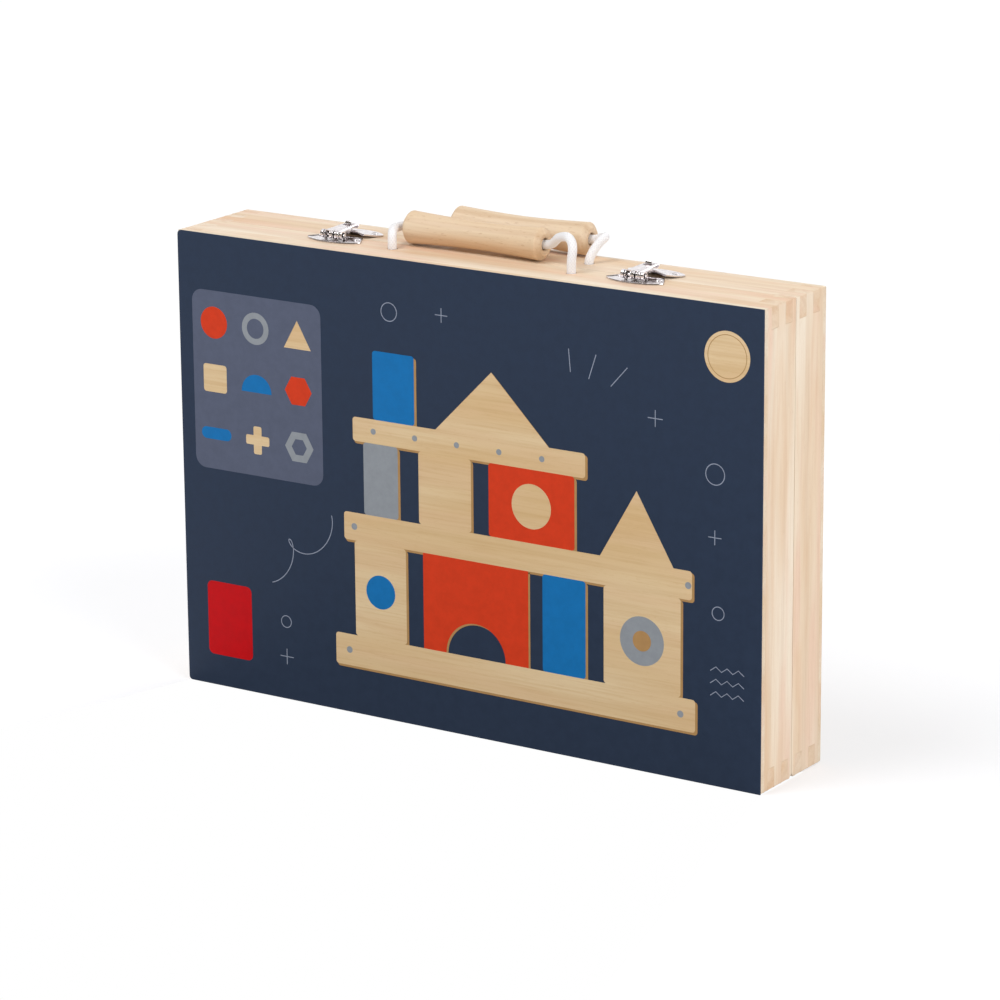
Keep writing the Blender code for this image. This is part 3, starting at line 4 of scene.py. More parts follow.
import bmesh
import bpy
from mathutils import Matrix, Vector
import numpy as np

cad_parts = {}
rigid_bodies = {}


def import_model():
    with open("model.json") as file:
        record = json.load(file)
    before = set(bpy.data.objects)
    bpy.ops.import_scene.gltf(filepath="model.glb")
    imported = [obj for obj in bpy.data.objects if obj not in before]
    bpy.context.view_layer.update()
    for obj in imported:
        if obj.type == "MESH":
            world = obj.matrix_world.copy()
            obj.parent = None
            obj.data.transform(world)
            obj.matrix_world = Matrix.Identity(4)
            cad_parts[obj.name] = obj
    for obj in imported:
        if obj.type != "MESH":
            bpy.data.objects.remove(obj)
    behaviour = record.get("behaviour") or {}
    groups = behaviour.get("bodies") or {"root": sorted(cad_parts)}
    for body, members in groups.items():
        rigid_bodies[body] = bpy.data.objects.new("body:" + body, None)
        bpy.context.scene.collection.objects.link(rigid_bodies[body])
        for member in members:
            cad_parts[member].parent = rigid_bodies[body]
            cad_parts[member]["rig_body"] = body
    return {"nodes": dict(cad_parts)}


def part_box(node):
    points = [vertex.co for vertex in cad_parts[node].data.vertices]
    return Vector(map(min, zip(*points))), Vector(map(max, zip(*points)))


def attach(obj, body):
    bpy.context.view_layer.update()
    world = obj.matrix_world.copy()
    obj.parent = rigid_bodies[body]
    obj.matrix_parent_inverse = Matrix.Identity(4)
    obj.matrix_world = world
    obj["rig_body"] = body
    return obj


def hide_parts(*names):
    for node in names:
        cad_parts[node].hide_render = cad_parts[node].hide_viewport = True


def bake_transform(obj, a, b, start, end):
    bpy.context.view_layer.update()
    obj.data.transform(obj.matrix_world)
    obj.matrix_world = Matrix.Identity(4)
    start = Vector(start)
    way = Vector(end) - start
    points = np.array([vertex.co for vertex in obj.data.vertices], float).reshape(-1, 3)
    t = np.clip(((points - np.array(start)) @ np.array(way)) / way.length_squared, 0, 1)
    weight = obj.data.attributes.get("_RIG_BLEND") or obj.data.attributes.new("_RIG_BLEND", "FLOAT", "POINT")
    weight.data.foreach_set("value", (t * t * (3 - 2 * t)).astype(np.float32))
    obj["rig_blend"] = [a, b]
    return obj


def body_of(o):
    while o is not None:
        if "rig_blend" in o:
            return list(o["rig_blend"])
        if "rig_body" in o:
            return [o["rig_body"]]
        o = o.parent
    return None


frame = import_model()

mm = 0.001
fullTurn = 2 * math.pi
white = (1, 1, 1, 1)
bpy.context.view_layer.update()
caseHalfWidth = 0.165
caseHeight = 0.230
seamPlane = -0.0017
cardFace = -0.0308
caseFoot = 3.35 * mm  # where the hinge leaves begin, above the barrels


# helpers for nodes and meshes

def linear(hexCode):
    values = [int(hexCode[i:i + 2], 16) / 255 for i in (1, 3, 5)]
    return [v / 12.92 if v <= 0.04045 else ((v + 0.055) / 1.055) ** 2.4 for v in values] + [1]


def toned(colour, share, lift=0.0):
    return [min(1, v * share + lift) for v in colour[:3]] + [1]


def addNode(tree, kind, inputs=None, **settings):
    node = tree.nodes.new(kind)
    for key, value in settings.items():
        setattr(node, key, value)
    for key, value in (inputs or {}).items():
        if isinstance(value, bpy.types.NodeSocket):
            tree.links.new(value, node.inputs[key])
        else:
            node.inputs[key].default_value = value
    return node


def mathNode(tree, operation, first, second=0.0):
    return addNode(tree, "ShaderNodeMath", {0: first, 1: second}, operation=operation).outputs[0]


def vectorNode(tree, operation, first, second=(0, 0, 0)):
    made = addNode(tree, "ShaderNodeVectorMath", {0: first, 1: second}, operation=operation)
    return made.outputs["Value" if operation in ("DOT_PRODUCT", "LENGTH") else "Vector"]


def noise(tree, vector, scale, detail, roughness=0.5, distortion=0.0):
    return addNode(tree, "ShaderNodeTexNoise", {
        "Vector": vector, "Scale": scale, "Detail": detail, "Roughness": roughness, "Distortion": distortion,
    }).outputs["Fac"]


def mixColours(tree, share, first, second):
    return addNode(tree, "ShaderNodeMix", {0: share, 6: first, 7: second}, data_type="RGBA").outputs[2]


def spread(tree, value, low, high, toLow=0.0, toHigh=1.0):
    return addNode(tree, "ShaderNodeMapRange", {
        "Value": value, "From Min": low, "From Max": high, "To Min": toLow, "To Max": toHigh,
    }, interpolation_type="SMOOTHSTEP").outputs["Result"]


def blankMaterial(name):
    made = bpy.data.materials.new(name)
    made.use_nodes = True
    tree = made.node_tree
    return made, tree, tree.nodes["Principled BSDF"]


def linkObject(name, mesh, *materials):
    made = bpy.data.objects.new(name, mesh)
    bpy.context.scene.collection.objects.link(made)
    for material in materials:
        made.data.materials.append(material)
    return made


def plainMesh(obj):
    graph = bpy.context.evaluated_depsgraph_get()
    graph.update()
    mesh = bpy.data.meshes.new_from_object(obj.evaluated_get(graph))
    obj.modifiers.clear()
    obj.data = mesh
    return obj


def fromBmesh(name, shape, *materials, smooth=True, recalculate=True):
    if recalculate:
        bmesh.ops.recalc_face_normals(shape, faces=shape.faces)
    mesh = bpy.data.meshes.new(name)
    for face in shape.faces:
        face.smooth = smooth
    shape.to_mesh(mesh)
    shape.free()
    return linkObject(name, mesh, *materials)


def sharpened(obj, degrees=38):
    obj.data.set_sharp_from_angle(angle=math.radians(degrees))
    modifier = obj.modifiers.new("normals", "WEIGHTED_NORMAL")
    modifier.keep_sharp = True
    return plainMesh(obj)


def withPlank(obj, value):
    # which board of the stack the wood is cut from
    layer = obj.data.attributes.new("plank", "FLOAT", "POINT")
    layer.data.foreach_set("value", [value] * len(obj.data.vertices))
    return obj


def moved(obj, x):
    obj.data.transform(Matrix.Translation((x, 0, 0)))
    return obj


def joined(name, objects):
    slots = []
    for obj in objects:
        for material in obj.data.materials:
            if material not in slots:
                slots.append(material)
    mesh = bpy.data.meshes.new(name)
    shape = bmesh.new()
    for obj in objects:
        start = len(shape.faces)
        shape.from_mesh(obj.data)
        shape.faces.ensure_lookup_table()
        for face in shape.faces[start:]:
            face.material_index = slots.index(obj.data.materials[face.material_index])
    shape.to_mesh(mesh)
    shape.free()
    for obj in objects:
        bpy.data.objects.remove(obj)
    return linkObject(name, mesh, *slots)


# camera, floor and light

camera = {
    "azimuth": 33.4402, "elevation": 15.6008, "roll": -0.4458, "place": (1.1261, -1.7021, 0.6799),
    "lens": 158.73, "sensor": 36, "clip": (0.05, 20),
}
studio = {
    "paper": "#F1F2F6", "paperRoughness": 0.9, "floorShare": 0.65, "floorGlow": 0.468, "farGlow": 1.02,
    "fade": (0.30, 0.62), "floorReach": 8, "floorLevel": -0.2 * mm,
    "notchFront": -0.42, "notchHalfWidth": 0.27, "notchFlare": -33 * mm, "notchEnd": 9.5 * mm,
    "notchGap": 0.5 * mm,
    "ambient": 0.45, "roomShade": "#5F5A4E", "roomAim": (-0.15, 0.96, 0.22), "roomSpread": (0.0, 0.62),
    "lamps": [
        ("keyLight", (-1.05, -1.5, 3.1), 2.0, 54), ("fillLight", (2.4, -1.0, 1.3), 1.5, 30),
        ("backLight", (0.4, 2.2, 1.8), 1.4, 10),
    ],
}


def addCamera():
    data = bpy.data.cameras.new("camera")
    data.lens = camera["lens"]
    data.sensor_width = camera["sensor"]
    data.clip_start, data.clip_end = camera["clip"]
    obj = bpy.data.objects.new("camera", data)
    bpy.context.scene.collection.objects.link(obj)
    a, e, r = [math.radians(camera[key]) for key in ("azimuth", "elevation", "roll")]
    back = Vector((math.sin(a) * math.cos(e), -math.cos(a) * math.cos(e), math.sin(e)))
    right = Vector((math.cos(a), math.sin(a), 0))
    up = back.cross(right)
    right, up = right * math.cos(r) + up * math.sin(r), up * math.cos(r) - right * math.sin(r)
    turn = Matrix((right, up, back)).transposed().to_4x4()
    obj.matrix_world = Matrix.Translation(camera["place"]) @ turn
    bpy.context.scene.camera = obj


def seenDirectly(tree):
    # one for what the camera, a mirror or glass sees, and nought for the light that falls on things
    rays = addNode(tree, "ShaderNodeLightPath").outputs
    seen = mathNode(tree, "MAXIMUM", rays["Is Camera Ray"], rays["Is Glossy Ray"])
    return mathNode(tree, "MAXIMUM", seen, rays["Is Transmission Ray"]), rays["Is Glossy Ray"]


def paperMaterial():
    # matt white studio paper, whose own tone hides the horizon
    made, tree, shader = blankMaterial("paperSweep")
    shader.inputs["Base Color"].default_value = linear(studio["paper"])
    shader.inputs["Roughness"].default_value = studio["paperRoughness"]
    seen = seenDirectly(tree)[0]
    distance = vectorNode(tree, "LENGTH", addNode(tree, "ShaderNodeTexCoord").outputs["Object"])
    far = spread(tree, distance, *studio["fade"])
    near = 1 - studio["floorShare"]
    cover = addNode(tree, "ShaderNodeMapRange", {"Value": far, "To Min": near})
    strength = addNode(tree, "ShaderNodeMapRange", {
        "Value": far, "To Min": studio["floorGlow"] / near, "To Max": studio["farGlow"],
    })
    share = mathNode(tree, "MULTIPLY", seen, cover.outputs[0])
    glow = addNode(tree, "ShaderNodeEmission", {"Color": white, "Strength": strength.outputs[0]})
    mixed = addNode(tree, "ShaderNodeMixShader", {0: share, 1: shader.outputs[0], 2: glow.outputs[0]})
    tree.links.new(mixed.outputs[0], tree.nodes["Material Output"].inputs["Surface"])
    return made


def addFloor():
    # rows of the grid from front to back; the paper ends under the case, so that the opened front half
    # can hang down beside it
    reach, foot = studio["floorReach"], caseHalfWidth + studio["notchGap"]
    rows = (
        (-reach, studio["notchHalfWidth"]), (studio["notchFront"], studio["notchHalfWidth"]),
        (studio["notchFlare"], foot), (studio["notchEnd"], foot), (reach, caseHalfWidth),
    )
    shape = bmesh.new()
    grid = []
    for y, half in rows:
        grid.append([shape.verts.new((x, y, studio["floorLevel"])) for x in (-reach, -half, half, reach)])
    for i in range(4):
        for k in range(3):
            if k != 1 or i in (0, 3):
                shape.faces.new((grid[i][k], grid[i][k + 1], grid[i + 1][k + 1], grid[i + 1][k]))
    fromBmesh("floor", shape, paperMaterial(), smooth=False, recalculate=False)


def addLight():
    world = bpy.data.worlds.new("studio")
    bpy.context.scene.world = world
    world.use_nodes = True
    tree = world.node_tree
    seen, glossy = seenDirectly(tree)
    strength = addNode(tree, "ShaderNodeMapRange", {"Value": seen, "To Min": studio["ambient"]})
    # metal mirrors a bright sweep behind and above, and the darker side of the room, where the camera stands
    direction = addNode(tree, "ShaderNodeTexCoord").outputs["Generated"]
    aim = vectorNode(tree, "DOT_PRODUCT", direction, studio["roomAim"])
    room = mixColours(tree, spread(tree, aim, *studio["roomSpread"]), linear(studio["roomShade"]), white)
    background = tree.nodes["Background"]
    tree.links.new(mixColours(tree, glossy, white, room), background.inputs["Color"])
    tree.links.new(strength.outputs["Result"], background.inputs["Strength"])
    target = Vector((0, 0, caseHeight / 2))
    for name, place, size, power in studio["lamps"]:
        data = bpy.data.lights.new(name, "AREA")
        data.shape = "DISK"
        data.size = size
        data.energy = power
        obj = bpy.data.objects.new(name, data)
        bpy.context.scene.collection.objects.link(obj)
        turn = (target - Vector(place)).to_track_quat("-Z", "Y").to_matrix().to_4x4()
        obj.matrix_world = Matrix.Translation(place) @ turn


addCamera()
addFloor()
addLight()
bpy.context.scene.view_settings.view_transform = "Standard"
print("camera, floor and light")


# materials

waveUnit = 0.314  # the wave texture's scale for bands that are one unit apart
beech = {
    "light": "#F7E8D3", "middle": "#EACFAF", "dark": "#C4976A", "blush": "#EDC9AF", "toast": "#DDAF7C",
    "end": "#D0A57C", "ringWidth": 8.0, "ringShare": 0.16, "blushShare": 0.7, "toastShare": 0.38,
    "streakShare": 0.22, "fibreShare": 0.15, "fleckShare": 0.12, "endShare": 0.2,
}
birchPly = dict(
    beech, light="#F3E6D1", middle="#EBD7BA", dark="#CFAD84", blush="#EDD3BC", ringWidth=12.0,
    toastShare=0.22, streakShare=0.14, fibreShare=0.26,
)
turnedBeech = dict(
    beech, light="#EBD5B8", middle="#E0C29C", dark="#B5875A", blush="#E3C5A2", ringShare=0.24,
    toastShare=0.2, fleckShare=0.34,
)
printedWood = dict(
    birchPly, light="#E9CFA6", middle="#DFBE8E", dark="#C79C64", blush="#E3C298", ringWidth=7.0,
    toastShare=0.1,
)
grainTurns = {"X": (0, -math.pi / 2, 0), "Z": (0, 0, 0)}
grainAxes = {"X": (1, 0, 0), "Z": (0, 0, 1)}
woodValues = {
    "plankShift": (13.7, 9.1, 410.0), "heart": (46, 71, 0), "lateWood": (0.45, 1.0),
    "ring": {"Distortion": 11.0, "Detail": 3.0, "Detail Scale": 0.55, "Detail Roughness": 0.6},
    "toneScale": 0.035, "toneDetail": 2.0, "toneSpread": (0.32, 0.68), "endSpread": (0.6, 0.9),
    "stretches": {
        "ring": (1, 1, 0.045), "fibre": (1, 1, 0.03), "fleck": (1, 1, 0.16), "tone": (1, 1, 0.12),
        "streak": (1, 1, 0.02),
    },
    # stretch, scale, detail, roughness, distortion, where the layer starts and is full, share, colour
    "layers": (
        ("tone", 0.09, 1.0, 0.5, 0.0, 0.45, 0.7, "blushShare", "blush"),
        ("tone", 0.07, 3.0, 0.5, 0.6, 0.47, 0.68, "toastShare", "toast"),
        ("streak", 0.34, 2.0, 0.5, 0.0, 0.62, 0.76, "streakShare", "dark"),
        ("fibre", 0.9, 4.0, 0.65, 0.0, 0.42, 0.72, "fibreShare", "dark"),
        ("fleck", 1.6, 1.0, 0.5, 0.0, 0.64, 0.72, "fleckShare", "dark"),
    ),
    "roughSpread": (0.3, 0.75), "smoother": 0.06, "rougher": 0.1, "relief": 0.08 * mm, "reliefShare": 0.6,
}
paintValues = {
    "stretch": (1, 1, 0.05), "fibreScale": 1.1, "cloudScale": 0.06, "deep": 0.86, "pale": 1.12,
    "paleLift": 0.012, "fibreSpread": (0.55, 0.8), "fibreShare": 0.5, "rougher": 0.12, "relief": 0.06 * mm,
    "reliefShare": 0.5,
}
nickelValues = {
    # the crevice colour, with its reach and spread, is painted shade for the metal's crevices and gaps
    "bright": "#F3EEF0", "dull": "#DAD3D5", "creviceShade": "#241D14", "creviceShadeReach": 1.6 * mm,
    "creviceShadeSpread": (0.18, 0.66), "cloudScale": 420.0, "rubStretch": (300, 5200, 900),
    "roughness": (0.17, 0.27), "rubRoughness": 0.1,
}
cottonValues = {
    # the hollow colour is painted shade for the hollows between the strands
    "hollowShade": "#F3EEF3", "strand": 1.1 * mm, "slant": 0.72, "distortion": 0.6, "fuzzScale": 3800.0,
    "roughness": 0.92, "sheen": 0.25, "sheenRoughness": 0.5, "relief": 0.22 * mm, "reliefShare": 0.7,
}
inkValues = {
    "mottleScale": 160.0, "deep": 0.90, "roughness": (0.40, 0.50), "specular": 0.15, "relief": 0.02 * mm,
    "reliefShare": 0.5,
}


def grainPlace(tree, grain):
    # object coordinates in millimetres, turned so that the grain runs along Z
    return addNode(tree, "ShaderNodeMapping", {
        "Vector": addNode(tree, "ShaderNodeTexCoord").outputs["Object"], "Rotation": grainTurns[grain],
        "Scale": (1000, 1000, 1000),
    }).outputs[0]


def woodTexture(tree, values, grain):
    # the colour, and the height of the fibres
    v = woodValues
    tints = {key: linear(values[key]) for key in ("light", "middle", "dark", "blush", "toast", "end")}
    plank = addNode(tree, "ShaderNodeAttribute", attribute_name="plank").outputs["Fac"]
    shift = vectorNode(tree, "MULTIPLY", plank, v["plankShift"])
    placed = vectorNode(tree, "ADD", grainPlace(tree, grain), shift)
    vectors = {}
    for key, stretch in v["stretches"].items():
        start = vectorNode(tree, "ADD", placed, v["heart"]) if key == "ring" else placed
        vectors[key] = vectorNode(tree, "MULTIPLY", start, stretch)
    rings = addNode(tree, "ShaderNodeTexWave", dict(
        v["ring"], Vector=vectors["ring"], Scale=waveUnit / values["ringWidth"],
    ), wave_type="RINGS", rings_direction="Z", wave_profile="SIN").outputs["Fac"]
    tone = noise(tree, vectors["tone"], v["toneScale"], v["toneDetail"])
    colour = mixColours(tree, spread(tree, tone, *v["toneSpread"]), tints["light"], tints["middle"])
    ringShare = mathNode(tree, "MULTIPLY", spread(tree, rings, *v["lateWood"]), values["ringShare"])
    colour = mixColours(tree, ringShare, colour, tints["dark"])
    heights = {}
    for key, scale, detail, roughness, distortion, low, high, share, tint in v["layers"]:
        heights[key] = noise(tree, vectors[key], scale, detail, roughness, distortion)
        cover = spread(tree, heights[key], low, high, 0, values[share])
        colour = mixColours(tree, cover, colour, tints[tint])
    normal = addNode(tree, "ShaderNodeTexCoord").outputs["Normal"]
    endGrain = mathNode(tree, "ABSOLUTE", vectorNode(tree, "DOT_PRODUCT", normal, grainAxes[grain]))
    cover = spread(tree, endGrain, *v["endSpread"], 0, values["endShare"])
    return mixColours(tree, cover, colour, tints["end"]), heights["fibre"]


def addBump(tree, shader, height, values):
    bump = addNode(tree, "ShaderNodeBump", {
        "Height": height, "Distance": values["relief"], "Strength": values["reliefShare"],
    })
    tree.links.new(bump.outputs[0], shader.inputs["Normal"])


def woodMaterial(name, values, grain, roughness=0.52):
    # bare wood, sanded
    made, tree, shader = blankMaterial(name)
    colour, fibres = woodTexture(tree, values, grain)
    tree.links.new(colour, shader.inputs["Base Color"])
    v = woodValues
    rough = spread(tree, fibres, *v["roughSpread"], roughness - v["smoother"], roughness + v["rougher"])
    tree.links.new(rough, shader.inputs["Roughness"])
    addBump(tree, shader, fibres, v)
    return made


def paintMaterial(name, hexCode, grain, roughness=0.38):
    # water-based satin paint over sanded wood: the fibres just show
    made, tree, shader = blankMaterial(name)
    v = paintValues
    place = grainPlace(tree, grain)
    fibres = noise(tree, vectorNode(tree, "MULTIPLY", place, v["stretch"]), v["fibreScale"], 3.0)
    clouds = noise(tree, place, v["cloudScale"], 2.0)
    base = linear(hexCode)
    colour = mixColours(tree, spread(tree, clouds, 0.3, 0.7), toned(base, v["deep"]), base)
    cover = spread(tree, fibres, *v["fibreSpread"], 0, v["fibreShare"])
    colour = mixColours(tree, cover, colour, toned(base, v["pale"], v["paleLift"]))
    tree.links.new(colour, shader.inputs["Base Color"])
    rough = spread(tree, fibres, 0.3, 0.7, roughness, roughness + v["rougher"])
    tree.links.new(rough, shader.inputs["Roughness"])
    addBump(tree, shader, fibres, v)
    return made


def nickelMaterial():
    # thin steel sheet, stamped, tumbled and nickel plated: bright, slightly warm, a few rub marks, with
    # painted shade in its crevices and gaps
    made, tree, shader = blankMaterial("nickelPlatedSteel")
    v = nickelValues
    place = addNode(tree, "ShaderNodeTexCoord").outputs["Object"]
    clouds = noise(tree, place, v["cloudScale"], 3.0)
    rubs = addNode(tree, "ShaderNodeMapping", {"Vector": place, "Scale": v["rubStretch"]}).outputs[0]
    rubs = noise(tree, rubs, 1.0, 2.0)
    colour = mixColours(tree, spread(tree, clouds, 0.35, 0.75), linear(v["bright"]), linear(v["dull"]))
    # painted shade: the colour turns dark brown where ambient occlusion finds nearby surfaces, in crevices,
    # gaps and under edges
    exposed = addNode(tree, "ShaderNodeAmbientOcclusion", {"Distance": v["creviceShadeReach"]}, samples=6)
    cover = spread(tree, exposed.outputs["AO"], *v["creviceShadeSpread"])
    colour = mixColours(tree, cover, linear(v["creviceShade"]), colour)
    tree.links.new(colour, shader.inputs["Base Color"])
    shader.inputs["Metallic"].default_value = 1
    rubbed = spread(tree, rubs, 0.5, 0.8, 0, v["rubRoughness"])
    rough = mathNode(tree, "ADD", spread(tree, clouds, 0.3, 0.7, *v["roughness"]), rubbed)
    tree.links.new(rough, shader.inputs["Roughness"])
    return made


def cottonMaterial():
    # round braided cotton cord: matt and soft, its strands crossing at a slant, with painted shade in the
    # hollows between them
    made, tree, shader = blankMaterial("braidedCotton")
    v = cottonValues
    uv = addNode(tree, "ShaderNodeTexCoord").outputs["UV"]
    strands = []
    for slant in (v["slant"], -v["slant"]):
        turned = addNode(tree, "ShaderNodeMapping", {"Vector": uv, "Rotation": (0, 0, slant)}).outputs[0]
        strands.append(addNode(tree, "ShaderNodeTexWave", {
            "Vector": turned, "Scale": waveUnit / v["strand"], "Distortion": v["distortion"], "Detail": 1.0,
        }, wave_type="BANDS", bands_direction="X").outputs["Fac"])
    woven = mathNode(tree, "MAXIMUM", *strands)
    # painted shade: the hollows between the strands are coloured a shade darker than the white strands
    colour = mixColours(tree, spread(tree, woven, 0.2, 0.9), linear(v["hollowShade"]), white)
    tree.links.new(colour, shader.inputs["Base Color"])
    shader.inputs["Roughness"].default_value = v["roughness"]
    shader.inputs["Sheen Weight"].default_value = v["sheen"]
    shader.inputs["Sheen Roughness"].default_value = v["sheenRoughness"]
    addBump(tree, shader, mathNode(tree, "ADD", woven, noise(tree, uv, v["fuzzScale"], 2.0)), v)
    return made


def inkMaterial(name, hexCode):
    # offset print on coated card under a satin film, with a faint press mottle; without a code it prints wood
    made, tree, shader = blankMaterial(name)
    v = inkValues
    mottle = noise(tree, addNode(tree, "ShaderNodeTexCoord").outputs["Object"], v["mottleScale"], 5.0, 0.7)
    if hexCode:
        base = linear(hexCode)
        colour = mixColours(tree, spread(tree, mottle, 0.3, 0.7), toned(base, v["deep"]), base)
    else:
        colour = woodTexture(tree, printedWood, "X")[0]
    tree.links.new(colour, shader.inputs["Base Color"])
    tree.links.new(spread(tree, mottle, 0.3, 0.7, *v["roughness"]), shader.inputs["Roughness"])
    shader.inputs["Specular IOR Level"].default_value = v["specular"]
    addBump(tree, shader, mottle, v)
    return made


beechX = woodMaterial("sandedBeechAlong", beech, "X")
beechZ = woodMaterial("sandedBeechUpright", beech, "Z")
gripBeech = woodMaterial("turnedBeech", turnedBeech, "X", 0.46)
plyX = woodMaterial("birchPlywood", birchPly, "X", 0.58)
plyZ = woodMaterial("birchPlywoodUpright", birchPly, "Z", 0.55)
redPaint = paintMaterial("orangeRedPaint", "#DC3A1A", "X")
bluePaint = paintMaterial("bluePaint", "#0E76BC", "Z")
greyPaint = paintMaterial("greyPaint", "#8F9397", "Z", 0.34)
nickel = nickelMaterial()
cotton = cottonMaterial()
inkCodes = {
    "navy": "#2E3B51", "slate": "#5D6479", "red": "#D0000D", "orange": "#DE3F1C", "blue": "#1276BA",
    "grey": "#989DA3", "pale": "#98A0B2", "wood": "", "shade": "#B98F5C",
}
inks = {key: inkMaterial(key + "Ink", code) for key, code in inkCodes.items()}
inkOrder = list(inks)
print("materials")


# cords, with their knots; points are in millimetres

gripValues = {
    "radius": 8.0 * mm, "waist": 6.8 * mm, "bore": 3.0 * mm, "chamfer": (2.3 * mm, 2.6 * mm),
    "axisHeight": 238.4 * mm, "rim": ((-0.3, 0), (-0.1, 0.04), (0.08, 0.16)), "rimDepth": 0.12 * mm,
    "shoulder": ((-0.14, -0.02), (0, 0.4)), "flare": ((0, 1.1), (0.25, 0.3), (0.8, 0)), "waistPower": 1.7,
    "steps": 48, "sides": 72, "planks": {"front": 3.3, "rear": 5.9},
}
cordValues = {
    "radius": 2.2 * mm, "spacing": 0.7 * mm, "sides": 28, "tipShare": 0.45, "board": 10.5 * mm,
    "knotRise": 4.6 * mm, "knotDrop": 6.1 * mm, "inBoard": (225.0, 230.0),
    "strands": 4, "strandTurn": 2400, "strandShare": 0.028,
    "front": {
        "holes": (-50.6, 50.6), "depth": -11.8, "grip": (-50.3, 28.0, 1.6),
        "left": [
            (-50.6, -11.8, 233.4), (-51.2, -10.8, 236.6), (-53.0, -7.6, 238.0), (-54.4, -3.4, 238.2),
            (-53.4, 0.6, 238.4),
        ],
        "right": [
            (31.8, 1.0, 239.3), (35.2, -1.2, 241.6), (38.8, -4.0, 243.9), (43.0, -6.4, 245.3),
            (46.8, -8.6, 245.8), (49.8, -10.3, 244.2), (51.0, -11.3, 240.8), (50.8, -11.8, 236.6),
            (50.6, -11.8, 233.0),
        ],
        "blend": ((-11.8, 233.6), (-8.2, 240.2)),
    },
    "rear": {
        "holes": (-54.2, 47.0), "depth": 9.3, "grip": (-37.0, 40.5, 22.6),
        "left": [
            (-54.2, 9.5, 233.4), (-54.0, 11.0, 236.6), (-52.6, 14.6, 238.3), (-49.2, 18.2, 238.5),
            (-44.9, 21.1, 238.2), (-41.2, 22.4, 238.3),
        ],
        "right": [
            (44.0, 22.3, 239.1), (47.6, 21.2, 240.4), (49.8, 18.8, 241.0), (49.4, 15.4, 239.6),
            (48.2, 12.2, 236.4), (47.3, 9.9, 232.9),
        ],
        "blend": ((8.8, 231.6), (16.6, 240.6)),
    },
}
knotValues = {
    "steps": 90, "size": 1.28, "height": 2.7, "sides": 20, "loopShare": 0.96, "tailShare": 0.94,
    "tail": ((1.5, 0, -2), (2.2, 0.4, -5), (2.6, 0.6, -8.5)),
}


def smoothRoute(points, spacing):
    padded = [points[0] * 2 - points[1]] + points + [points[-1] * 2 - points[-2]]
    dense = []
    for a, b, c, d in zip(padded, padded[1:], padded[2:], padded[3:]):
        for i in range(40):
            t = i / 40
            dense.append((b * 2 + (c - a) * t + (a * 2 - b * 5 + c * 4 - d) * t**2
                          + (b * 3 - a - c * 3 + d) * t**3) / 2)
    dense.append(points[-1])
    lengths = [0.0]
    for first, second in zip(dense, dense[1:]):
        lengths.append(lengths[-1] + (second - first).length)
    count = max(2, round(lengths[-1] / spacing))
    route, index = [], 0
    for step in range(count + 1):
        target = lengths[-1] * step / count
        while index < len(lengths) - 2 and lengths[index + 1] < target:
            index += 1
        share = (target - lengths[index]) / max(lengths[index + 1] - lengths[index], 1e-9)
        route.append(dense[index].lerp(dense[index + 1], min(1, share)))
    return route


def routeLength(route):
    return sum((b - a).length for a, b in zip(route, route[1:]))


def cordTube(name, route, radius, sides, closed=False):
    # a tube with round ends and its braid in the mesh; the UVs are in metres
    strands, twist, share = cordValues["strands"], cordValues["strandTurn"], cordValues["strandShare"]
    shape = bmesh.new()
    layer = shape.loops.layers.uv.new("cord")
    count = len(route)
    tangents = []
    for i in range(count):
        before = route[i - 1] if closed or i > 0 else route[0]
        after = route[(i + 1) % count] if closed or i < count - 1 else route[-1]
        tangents.append((after - before).normalized())
    side = tangents[0].orthogonal().normalized()
    rings, along = [], 0.0
    for i in range(count):
        side = (side - tangents[i] * side.dot(tangents[i])).normalized()
        other = tangents[i].cross(side)
        if i:
            along += (route[i] - route[i - 1]).length
        ring = []
        for k in range(sides):
            turn = fullTurn * k / sides
            weave = max(math.sin(strands * turn + along * twist), math.sin(strands * turn - along * twist))
            reach = radius * (1 - share + share * weave)
            ring.append(shape.verts.new(route[i] + (side * math.cos(turn) + other * math.sin(turn)) * reach))
        rings.append((ring, along))
    pairs = list(zip(rings, rings[1:]))
    if closed:
        pairs.append((rings[-1], (rings[0][0], along)))
    around = fullTurn * radius
    for (first, low), (second, high) in pairs:
        for k in range(sides):
            n = (k + 1) % sides
            face = shape.faces.new((first[k], first[n], second[n], second[k]))
            for loop, uv in zip(face.loops, ((k, low), (k + 1, low), (k + 1, high), (k, high))):
                loop[layer].uv = (uv[0] / sides * around, uv[1])
    if not closed:
        for end, sign in ((0, -1), (-1, 1)):
            ring = rings[end][0]
            tip = shape.verts.new(route[end] + tangents[end] * sign * radius * cordValues["tipShare"])
            for k in range(sides):
                shape.faces.new((ring[k], ring[(k + 1) % sides], tip))
    return fromBmesh(name, shape, cotton)


def addKnot(name, place):
    # an overhand knot drawn tight under the board, with a cut tail
    v = knotValues
    trefoil = []
    for i in range(v["steps"]):
        t = fullTurn * i / v["steps"]
        trefoil.append(place + Vector((
            (math.sin(t) + 2 * math.sin(2 * t)) * v["size"], (math.cos(t) - 2 * math.cos(2 * t)) * v["size"],
            -math.sin(3 * t) * v["height"],
        )) * mm)
    radius = cordValues["radius"]
    tail = smoothRoute([place + Vector(p) * mm for p in v["tail"]], cordValues["spacing"])
    return [
        cordTube(name + "Loop", trefoil, radius * v["loopShare"], v["sides"], closed=True),
        cordTube(name + "Tail", tail, radius * v["tailShare"], v["sides"]),
    ]


